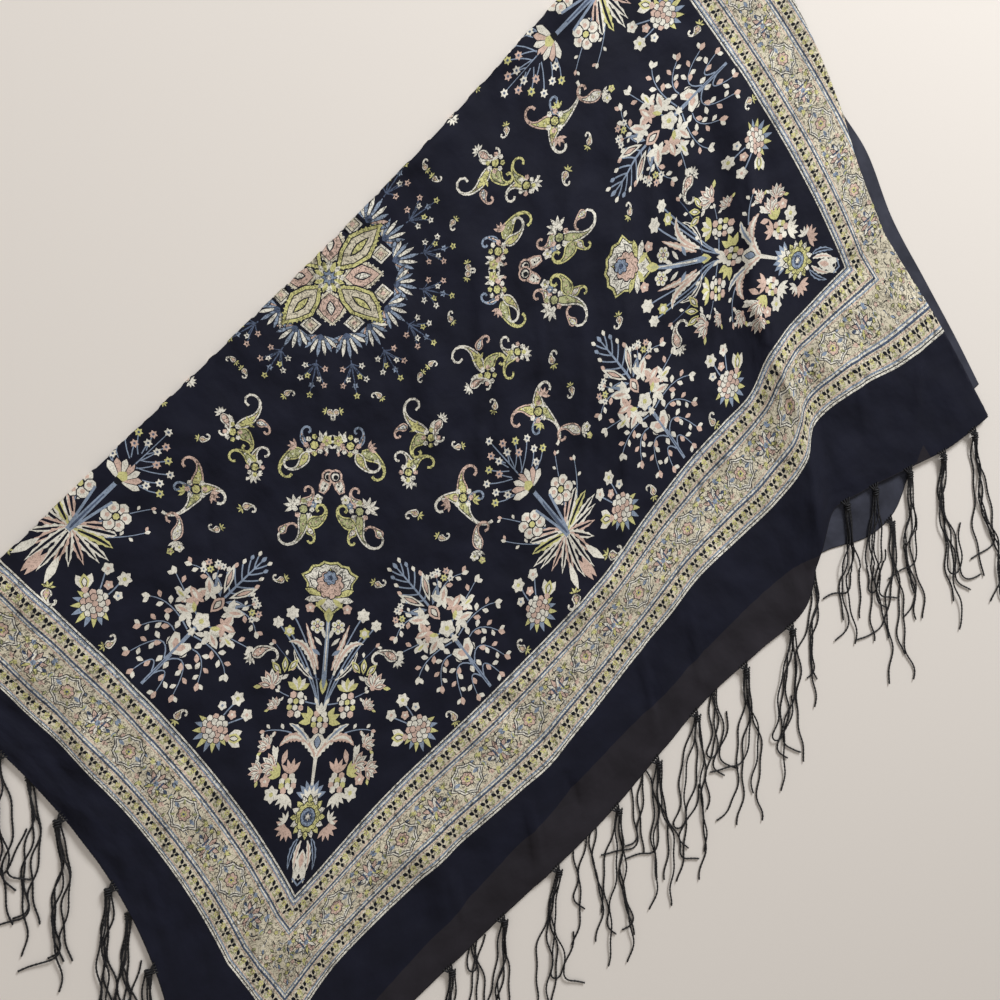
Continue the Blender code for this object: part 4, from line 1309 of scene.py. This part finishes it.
def soft_cloth_bump(tree, flat):
    """Crumples of a limp cloth: wide soft ones, small ones between them, and the threads."""
    normal = None
    layers = ((13, 2.0, 1.0, 0.020), (60, 2.0, 0.5, 0.003), (700, 1.0, 0.3, 0.0003))
    for scale, detail, strength, distance in layers:
        rough = joined(tree, "TexNoise", {"Vector": flat, "Scale": scale, "Detail": detail})
        inputs = {"Height": rough.outputs["Fac"], "Strength": strength, "Distance": distance}
        if normal is not None:
            inputs["Normal"] = normal
        normal = joined(tree, "Bump", inputs).outputs["Normal"]
    return normal


def printed_cloth_material():
    """The ink of each part, broken by fine dark drawn lines and by dots where the ink missed a thread, and
    lightened and darkened by a noise that is partly uneven tone and partly painted sheen and shade of small
    creases.
    """
    material, shader = new_material("printed_cloth", 0.85)
    tree = material.node_tree
    shader.inputs["Specular IOR Level"].default_value = 0.25
    ink = joined(tree, "Attribute", {}, attribute_name="print_colour")
    colour = ink.outputs["Color"]
    flat = joined(tree, "UVMap", {}, uv_map="flat_cloth").outputs["UV"]

    curls = joined(tree, "TexNoise", {"Vector": flat, "Scale": 250, "Detail": 1.0, "Distortion": 1.2})
    level = joined(tree, "Math", {0: curls.outputs["Fac"], 1: 0.5}, operation="SUBTRACT")
    from_line = joined(tree, "Math", {0: level.outputs[0]}, operation="ABSOLUTE")
    line = joined(tree, "MapRange", {
        "Value": from_line.outputs[0], "From Min": 0.022, "From Max": 0.06, "To Min": 0.88, "To Max": 0.0})
    fine = joined(tree, "MapRange", {
        "Value": from_line.outputs[0], "From Min": 0.004, "From Max": 0.03, "To Min": 0.5, "To Max": 0.0})
    drawn = joined(tree, "Mix", {
        "Factor": ink.outputs["Alpha"], 2: fine.outputs[0], 3: line.outputs[0]}, data_type="FLOAT")

    grain = joined(tree, "TexVoronoi", {"Vector": flat, "Scale": 520, "Randomness": 0.9})
    missed = joined(tree, "MapRange", {
        "Value": grain.outputs["Distance"], "From Min": 0.18, "From Max": 0.42, "To Min": 0.42, "To Max": 0})
    dark = joined(tree, "Math", {0: drawn.outputs[0], 1: missed.outputs[0]}, operation="MAXIMUM")

    # Painted sheen and shade: a noise lightens and darkens the inks, partly as uneven tone of the cloth and
    # partly in place of the highlights and shade of small creases.
    painted_sheen_and_tone_noise = joined(tree, "TexNoise", {"Vector": flat, "Scale": 34, "Detail": 4.0})
    painted_sheen_and_tone = joined(tree, "MapRange", {
        "Value": painted_sheen_and_tone_noise.outputs["Fac"], "From Min": 0.35, "From Max": 0.7, "To Min": 1.06, "To Max": 0.80})
    shade = joined(tree, "VectorMath", {0: colour, "Scale": painted_sheen_and_tone.outputs[0]}, operation="SCALE")
    bare = joined(tree, "VectorMath", {0: colour, "Scale": 0.16}, operation="SCALE")
    mixed = joined(tree, "Mix", {
        "Factor": dark.outputs[0], 6: shade.outputs[0], 7: bare.outputs[0]}, data_type="RGBA")
    brightness = joined(tree, "RGBToBW", {"Color": colour})
    is_light = joined(tree, "Math", {0: brightness.outputs[0], 1: 0.06}, operation="GREATER_THAN")
    ground = joined(tree, "Mix", {
        "Factor": is_light.outputs[0], 6: shade.outputs[0], 7: mixed.outputs[2]}, data_type="RGBA")
    tree.links.new(ground.outputs[2], shader.inputs["Base Color"])
    tree.links.new(soft_cloth_bump(tree, flat), shader.inputs["Normal"])
    return material


printed_cloth = printed_cloth_material()
for name, outline, shapes in (
    ("upper_field", field_outline(), panel()),
    ("upper_border", border_outline(), border()),
):
    piece = add_object(name, printed_mesh(name, outline, shapes))
    piece.data.materials.append(printed_cloth)
    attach(piece, "root")
    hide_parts("upper_layer")


# Under half of the square: the same cloth, which shows as a narrow strip past the right side and
# past the hem near the right corner. It is plain there, and sheer where it lies alone.
UNDER_GRID_COLUMNS = 208
UNDER_GRID_ROWS = 104
UNDER_FLAT_SIZE = (0.95, 0.5)


def grid_sheet(name, columns, rows, lay):
    """A cloth grid facing up, whose points a function lays by their shares across and down."""
    shape = bmesh.new()
    bmesh.ops.create_grid(shape, x_segments=columns, y_segments=rows, size=0.5)
    shares = np.array([(vertex.co.x + 0.5, 0.5 - vertex.co.y) for vertex in shape.verts]).round(6)
    spots = lay(shares[:, 0], shares[:, 1]) + np.array(MEDALLION)
    for vertex, spot in zip(shape.verts, spots):
        vertex.co = spot
    mesh = bpy.data.meshes.new(name)
    shape.to_mesh(mesh)
    shape.free()
    mesh.shade_smooth()
    uv = mesh.uv_layers.new(name="flat_cloth")
    corners = np.empty(len(mesh.loops), int)
    mesh.loops.foreach_get("vertex_index", corners)
    uv.data.foreach_set("uv", (shares[corners] * UNDER_FLAT_SIZE).ravel())
    return add_object(name, mesh)


def plain_cloth_material():
    """Dark cloth in the colour that its mesh was dyed, with uneven tone and painted sheen from a noise that
    lightens and darkens it.
    """
    material, shader = new_material("plain_cloth", 0.85)
    tree = material.node_tree
    shader.inputs["Specular IOR Level"].default_value = 0.25
    flat = joined(tree, "UVMap", {}, uv_map="flat_cloth").outputs["UV"]
    colour = joined(tree, "Attribute", {}, attribute_name="cloth_colour").outputs["Color"]
    # Painted sheen and shade: a noise lightens and darkens the dyed colour, partly as mottled tone and partly
    # as painted sheen of the cloth.
    painted_sheen_and_tone_noise = joined(tree, "TexNoise", {"Vector": flat, "Scale": 40, "Detail": 4.0})
    painted_sheen_and_tone = joined(tree, "MapRange", {
        "Value": painted_sheen_and_tone_noise.outputs["Fac"], "From Min": 0.35, "From Max": 0.7, "To Min": 1.3, "To Max": 0.75})
    shade = joined(tree, "VectorMath", {0: colour, "Scale": painted_sheen_and_tone.outputs[0]}, operation="SCALE")
    tree.links.new(shade.outputs[0], shader.inputs["Base Color"])
    tree.links.new(soft_cloth_bump(tree, flat), shader.inputs["Normal"])
    return material


def dye(mesh, colour):
    """One cloth colour over a whole mesh."""
    attribute = mesh.color_attributes.new("cloth_colour", "FLOAT_COLOR", "POINT")
    channels = [linear(channel) for channel in colour] + [1.0]
    attribute.data.foreach_set("color", channels * len(mesh.vertices))


SHEER_CLOTH = (53, 55, 66)
DENSE_CLOTH = (16, 17, 24)
plain_cloth = plain_cloth_material()
under_cloth = grid_sheet("under_cloth", UNDER_GRID_COLUMNS, UNDER_GRID_ROWS, lay_under)
under_cloth.data.materials.append(plain_cloth)
dye(under_cloth.data, SHEER_CLOTH)
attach(under_cloth, "root")
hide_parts("under_layer")

# Turned-in side: the last 60 to 100 mm of both layers, turned in between them before the scarf was
# laid down. It is one strip of cloth with a round fold along its outer edge.
TUCK_START = -0.003
TUCK_END = 0.455
TUCK_INSET = 4.5 * MM
TUCK_SKIN = 0.15 * MM
TUCK_COLUMNS = 40
TUCK_ROWS = 92


def lay_tucked(round_share, share_down):
    """Runs out along the strip's top, round its folded edge and back along its underside."""
    down = TUCK_START + (TUCK_END - TUCK_START) * share_down
    turn = turn_along(down)
    outer = place_x(turn, down) - TUCK_INSET
    inner = place_x(2 * turn - HALF_SIDE, down)
    y_outer = place_y(turn, down)
    y_inner = place_y(2 * turn - HALF_SIDE, down)
    radius = TUCKED_LAYERS / 2 - TUCK_SKIN
    middle = CLOTH + SEAM_GAP + TUCKED_LAYERS / 2
    flat_share = np.clip(np.abs(round_share - 0.5) * 2 - 0.2, 0, 0.8) / 0.8
    angle = np.clip((round_share - 0.5) / 0.1, -1, 1) * pi / 2
    x = outer + (inner - outer) * flat_share + radius * (np.cos(angle) - 1) * (flat_share == 0)
    y = y_outer + (y_inner - y_outer) * flat_share
    return np.stack([x, y, middle - radius * np.sin(angle)], axis=-1)


turned_side = grid_sheet("turned_side", TUCK_COLUMNS, TUCK_ROWS, lay_tucked)
turned_side.data.materials.append(plain_cloth)
dye(turned_side.data, DENSE_CLOTH)
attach(turned_side, "root")
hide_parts("tucked_side")

# Rolled hems: the raw edges are rolled to a thin cord and overcast, along the long hem and the left
# side of each half.
HEM_ROLL = 1.3 * MM
HEM_STEP = 3 * MM
HEM_TWIST = 4 * MM


def tube_along(name, routes, profile, twist_length):
    """One mesh of round cords: each route is its list of points, and the profile turns along it."""
    curve = bpy.data.curves.new(name, "CURVE")
    curve.dimensions = "3D"
    curve.twist_mode = "Z_UP"
    curve.bevel_mode = "OBJECT"
    curve.bevel_object = profile
    curve.use_fill_caps = True
    for route in routes:
        spline = curve.splines.new("POLY")
        spline.points.add(len(route) - 1)
        spline.points.foreach_set("co", np.c_[route, np.ones(len(route))].ravel())
        lengths = np.r_[0, np.cumsum(np.linalg.norm(np.diff(route, axis=0), axis=1))]
        spline.points.foreach_set("tilt", lengths / twist_length * 2 * pi)
    thing = add_object(name + "_route", curve)
    bpy.context.view_layer.update()
    graph = bpy.context.evaluated_depsgraph_get()
    mesh = bpy.data.meshes.new_from_object(thing.evaluated_get(graph))
    bpy.data.objects.remove(thing)
    mesh.name = name
    mesh.shade_smooth()
    return mesh


def cord_profile(name, radius, plies, depth, sides):
    """The outline of a cord cut across: as many lobes as it has plies."""
    curve = bpy.data.curves.new(name, "CURVE")
    spline = curve.splines.new("POLY")
    spline.points.add(sides - 1)
    for k, point in enumerate(spline.points):
        angle = 2 * pi * k / sides
        reach = radius * (1 - depth + depth * cos(plies * angle))
        point.co = (reach * cos(angle), reach * sin(angle), 0, 1)
    spline.use_cyclic_u = True
    return add_object(name, curve)


def upper_long_edge():
    along = np.arange(LEFT_HEM, float(turn_along(HALF_SIDE)), HEM_STEP)
    return lay_upper(along, np.full_like(along, HALF_SIDE)) + np.array(MEDALLION)


def upper_left_edge():
    down = np.arange(-FOLD_UP, HALF_SIDE, HEM_STEP)
    return lay_upper(np.full_like(down, LEFT_HEM), down) + np.array(MEDALLION)


def under_long_edge():
    across = np.linspace(0, 1, 300)
    return lay_under(across, np.ones_like(across)) + np.array(MEDALLION)


def under_left_edge():
    share = np.linspace(0, 1, 170)
    return lay_under(np.zeros_like(share), share) + np.array(MEDALLION)


def sunk(route, drop):
    return route - (0, 0, drop)


def resting(route):
    """A hem's route where its roll lies on the table."""
    lowest = HEM_ROLL / 2 + 0.05 * MM
    return np.c_[route[:, :2], np.maximum(route[:, 2] - HEM_ROLL / 3, lowest)]


hem_profile = cord_profile("hem_profile", HEM_ROLL / 2, 2, 0.12, 8)
upper_edges = [sunk(upper_long_edge(), HEM_ROLL / 3), sunk(upper_left_edge(), HEM_ROLL / 3)]
under_edges = [resting(under_long_edge()), resting(under_left_edge())]
for name, edges in (("upper_hems", upper_edges), ("under_hems", under_edges)):
    hem = add_object(name, tube_along(name, edges, hem_profile, HEM_TWIST))
    hem.data.materials.append(plain_cloth)
    dye(hem.data, DENSE_CLOTH)
    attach(hem, "root")
bpy.data.objects.remove(hem_profile)

# Fringe: tassels of black twisted cord, looped through the hem in fours and drawn into a knot just
# past it. The cords fall toward the bottom of the picture and lie where they fell on the table.
CORD = 1.9 * MM
FLOOR_GAP = 0.4 * MM
STRIP_HEIGHT = 1.2 * MM
HEM_CLEARANCE = 30 * MM
CORD_FALL = 24 * MM
LENGTH_STEP = 0.09
CORD_LEAN = radians(226)
CORD_FAN = radians(1.0)
CORD_WAVE = radians(5)
CORD_WAVE_LENGTH = 0.15
CORD_WAVE_SHIFT = 11
CORD_SMALL_WAVES = ((radians(13), 0.083, 1), (radians(11), 0.037, 3))
CORD_END = 0.03
HOOK_SHARE = 0.14
KNOT_STAND_OFF = 5 * MM
KNOT_HALF_WIDTH = 2.9 * MM
KNOT_HALF_HEIGHT = 2.3 * MM
KNOT_LENGTH = 5.5 * MM
KNOT_TURNS = 2.6
STRANDS_ALONG = (-5, -2, 1, 4)
STRAND_INSET = 1.5 * MM
STRAND_POINTS = 6
ROOT_SPACING = 1.1 * MM
LONGEST_CORD = 1.04
CORD_TWIST = 7 * MM
ROUTE_STEP = 2 * MM
# Each cord's own bends, used in turn: its swing in degrees, the phase of its small waves, where along
# it a hook starts and how far the hook turns.
CORD_BENDS = (
    (1, 0.0, 0.85, 0),
    (-3, 1.9, 0.82, 65),
    (3, 3.4, 0.90, -30),
    (-1, 5.0, 0.70, -85),
    (4, 0.8, 0.88, 20),
    (-5, 2.6, 0.62, 170),
    (2, 4.3, 0.90, 0),
    (0, 1.2, 0.84, -55),
    (-4, 5.6, 0.90, 15),
    (5, 3.0, 0.78, 80),
    (-2, 0.4, 0.90, 0),
)

Tassel = namedtuple("Tassel", "place swing reach cords")
UPPER_LONG_TASSELS = [Tassel(*row) for row in (
    (-0.466, -3, 0.150, 4),
    (-0.408, 2, 0.142, 4),
    (-0.350, -2, 0.152, 4),
    (-0.292, 3, 0.138, 4),
    (-0.238, 0, 0.150, 4),
    (-0.180, -3, 0.158, 4),
    (-0.112, 2, 0.140, 4),
    (-0.062, 3, 0.146, 4),
    (-0.012, -2, 0.150, 4),
    (0.050, 2, 0.156, 4),
    (0.108, -1, 0.148, 4),
    (0.230, 7, 0.140, 4),
    (0.262, 6, 0.138, 4),
    (0.300, 8, 0.150, 4),
    (0.338, 11, 0.165, 4),
    (0.376, 15, 0.180, 4),
)]
UNDER_LONG_TASSELS = [Tassel(*row) for row in (
    (-0.456, 0, 0.150, 3),
    (-0.272, 0, 0.140, 3),
    (-0.133, 0, 0.150, 3),
    (-0.070, 2, 0.155, 3),
    (0.030, 0, 0.150, 3),
    (0.150, 1, 0.145, 3),
    (0.232, 6, 0.150, 3),
)]
UPPER_LEFT_TASSELS = [Tassel(*row) for row in (
    (0.020, 1, 0.130, 4),
    (0.090, 0, 0.142, 4),
    (0.162, 1, 0.135, 4),
    (0.235, 0, 0.148, 4),
    (0.312, 0, 0.140, 4),
    (0.378, 0, 0.150, 4),
    (0.440, 0, 0.146, 4),
)]
UNDER_LEFT_TASSELS = [Tassel(*row) for row in (
    (0.130, 0, 0.140, 3),
    (0.276, 0, 0.145, 3),
    (0.424, 0, 0.140, 3),
)]


def on_upper_long(place):
    return lay_upper(np.array([place]), np.array([HALF_SIDE]))[0]


def on_upper_left(place):
    return lay_upper(np.array([LEFT_HEM]), np.array([place]))[0]


def on_under_long(place):
    x = np.array([place])
    return np.array([place, float(under_hem_y(x)[0]), CLOTH])


def on_under_left(place):
    return lay_under(np.array([0.0]), np.array([place / HALF_SIDE]))[0]


def on_table(x, y):
    return FLOOR_GAP + CORD / 2


def over_under_hem(x, y):
    below_hem = y > float(under_hem_y(np.array([x]))[0]) - HEM_CLEARANCE
    inside = x < float(under_right(np.array([-y / HALF_SIDE]))[0]) + HEM_CLEARANCE
    if below_hem and inside:
        return STRIP_HEIGHT + 2 * FLOOR_GAP + CORD / 2
    return on_table(x, y)


def cord_route(root, swing, reach, phase, bends, lift, rest):
    """A cord from its knot: it drops to what is below it and lies there in its own waves and hook."""
    own_swing, own_phase, hook_start, hook = bends
    steps = int(reach / ROUTE_STEP)
    here = np.array(root)
    route = [here.copy()]
    for k in range(1, steps + 1):
        distance = reach * k / steps
        heading = CORD_LEAN + swing + radians(own_swing)
        heading += CORD_WAVE * sin(2 * pi * distance / CORD_WAVE_LENGTH + phase)
        for wave, length, times in CORD_SMALL_WAVES:
            loose = min(distance / CORD_END, 1)
            heading += wave * sin(2 * pi * distance / length + own_phase * times) * loose
        heading += radians(hook) * float(soft_step((distance / reach - hook_start) / HOOK_SHARE))
        here = here + np.array([cos(heading), sin(heading), 0]) * reach / steps
        drop = float(soft_step(distance / CORD_FALL))
        lying = rest(here[0], here[1]) + lift * min((reach - distance) / CORD_END, 1)
        here[2] = root[2] * (1 - drop) + lying * drop
        route.append(here.copy())
    return np.array(route)


def knot_route(middle, half_height, fall, across):
    """The turns of cord drawn tight round a tassel's head."""
    turns = np.linspace(0, KNOT_TURNS, 30)
    angle = 2 * pi * turns
    wide = np.outer(KNOT_HALF_WIDTH * np.cos(angle) * (1 - 0.06 * turns), across)
    high = np.outer(half_height * np.sin(angle), (0, 0, 1))
    return middle + wide + high + np.outer(turns / KNOT_TURNS - 0.5, fall) * KNOT_LENGTH


def tassel_routes(tassels, hem_place, rest, knot_share):
    """For each tassel the strands through the hem, its knot and its cords. The knot is pressed to a
    share of its height where cloth lies on it."""
    routes = []
    count = 0
    for number, tassel in enumerate(tassels):
        at = hem_place(tassel.place)
        ahead = hem_place(tassel.place + 2 * MM) - hem_place(tassel.place - 2 * MM)
        along_hem = ahead / hypot(ahead[0], ahead[1])
        outward = np.array([along_hem[1], -along_hem[0], 0])
        swing = radians(tassel.swing)
        fall = np.array([cos(CORD_LEAN + swing), sin(CORD_LEAN + swing), 0])
        across = np.array([-fall[1], fall[0], 0])
        knot = at + outward * KNOT_STAND_OFF + fall * 2 * MM
        half_height = KNOT_HALF_HEIGHT * knot_share
        knot[2] = max((at[2] - CLOTH / 2) * knot_share, half_height + CORD / 2 + FLOOR_GAP)
        for shift in STRANDS_ALONG:
            foot = at + along_hem * shift * MM - outward * STRAND_INSET
            shares = np.linspace(0, 1, STRAND_POINTS)[:, None]
            routes.append(foot * (1 - shares) + knot * shares + (0, 0, knot_share * MM) * np.sin(pi * shares))
        routes.append(knot_route(knot, half_height, fall, across))
        for k in range(tassel.cords + 1):
            aside = k - tassel.cords / 2
            reach = tassel.reach * (LONGEST_CORD - LENGTH_STEP * ((k * 2 + number) % 4))
            root = knot + across * aside * ROOT_SPACING
            fanned = swing + CORD_FAN * aside * 2
            bends = CORD_BENDS[(count * 7) % len(CORD_BENDS)]
            lift = (k % 2) * CORD * 0.9 * knot_share
            phase = tassel.place * CORD_WAVE_SHIFT
            routes.append(cord_route(root, fanned, reach, phase, bends, lift, rest))
            count += 1
    return [route + np.array(MEDALLION) for route in routes]


twisted_cord, cord_shader = new_material("fringe_cord", 0.62)
cord_shader.inputs["Base Color"].default_value = (0.0055, 0.0055, 0.008, 1)
cord_outline = cord_profile("cord_outline", CORD / 2, 2, 0.16, 8)
for node, tassels, hem_place, rest, knot_share in (
    ("upper_long_fringe", UPPER_LONG_TASSELS, on_upper_long, over_under_hem, 1.0),
    ("under_long_fringe", UNDER_LONG_TASSELS, on_under_long, on_table, 0.1),
    ("upper_left_fringe", UPPER_LEFT_TASSELS, on_upper_left, on_table, 1.0),
    ("under_left_fringe", UNDER_LEFT_TASSELS, on_under_left, on_table, 0.1),
):
    name = node.replace("fringe", "tassels")
    routes = tassel_routes(tassels, hem_place, rest, knot_share)
    fringe = add_object(name, tube_along(name, routes, cord_outline, CORD_TWIST))
    fringe.data.materials.append(twisted_cord)
    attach(fringe, "root")
    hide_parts(node)
bpy.data.objects.remove(cord_outline)

# Floor and light: a plain pale surface, a window light from the side and a weak light from above.
floor_data = bpy.data.meshes.new("floor")
floor_shape = bmesh.new()
bmesh.ops.create_grid(floor_shape, x_segments=1, y_segments=1, size=6.0)
floor_shape.to_mesh(floor_data)
floor_shape.free()
floor = add_object("floor", floor_data)
floor_paint, floor_shader = new_material("floor_paint", 0.9)
floor_shader.inputs["Base Color"].default_value = (0.84, 0.79, 0.735, 1)
floor.data.materials.append(floor_paint)

Lamp = namedtuple("Lamp", "name x y z size power colour")
LAMPS = [Lamp(*row) for row in (
    ("window", 2.2, 0.9, 1.5, 0.8, 62.0, (0.97, 0.985, 1.0)),
    ("room", -0.9, 0.7, 2.0, 2.0, 5.0, (1.0, 0.94, 0.88)),
)]
for lamp in LAMPS:
    light_data = bpy.data.lights.new(lamp.name, "AREA")
    light_data.size = lamp.size
    light_data.energy = lamp.power
    light_data.color = lamp.colour
    light = add_object(lamp.name, light_data)
    light.location = (lamp.x, lamp.y, lamp.z)
    light.rotation_euler = (-light.location).to_track_quat("-Z", "Y").to_euler()

world = bpy.data.worlds.new("soft_light")
world.use_nodes = True
background = world.node_tree.nodes["Background"]
background.inputs["Color"].default_value = (1.0, 0.95, 0.90, 1)
background.inputs["Strength"].default_value = 0.32
bpy.context.scene.world = world
bpy.context.scene.view_settings.view_transform = "Standard"
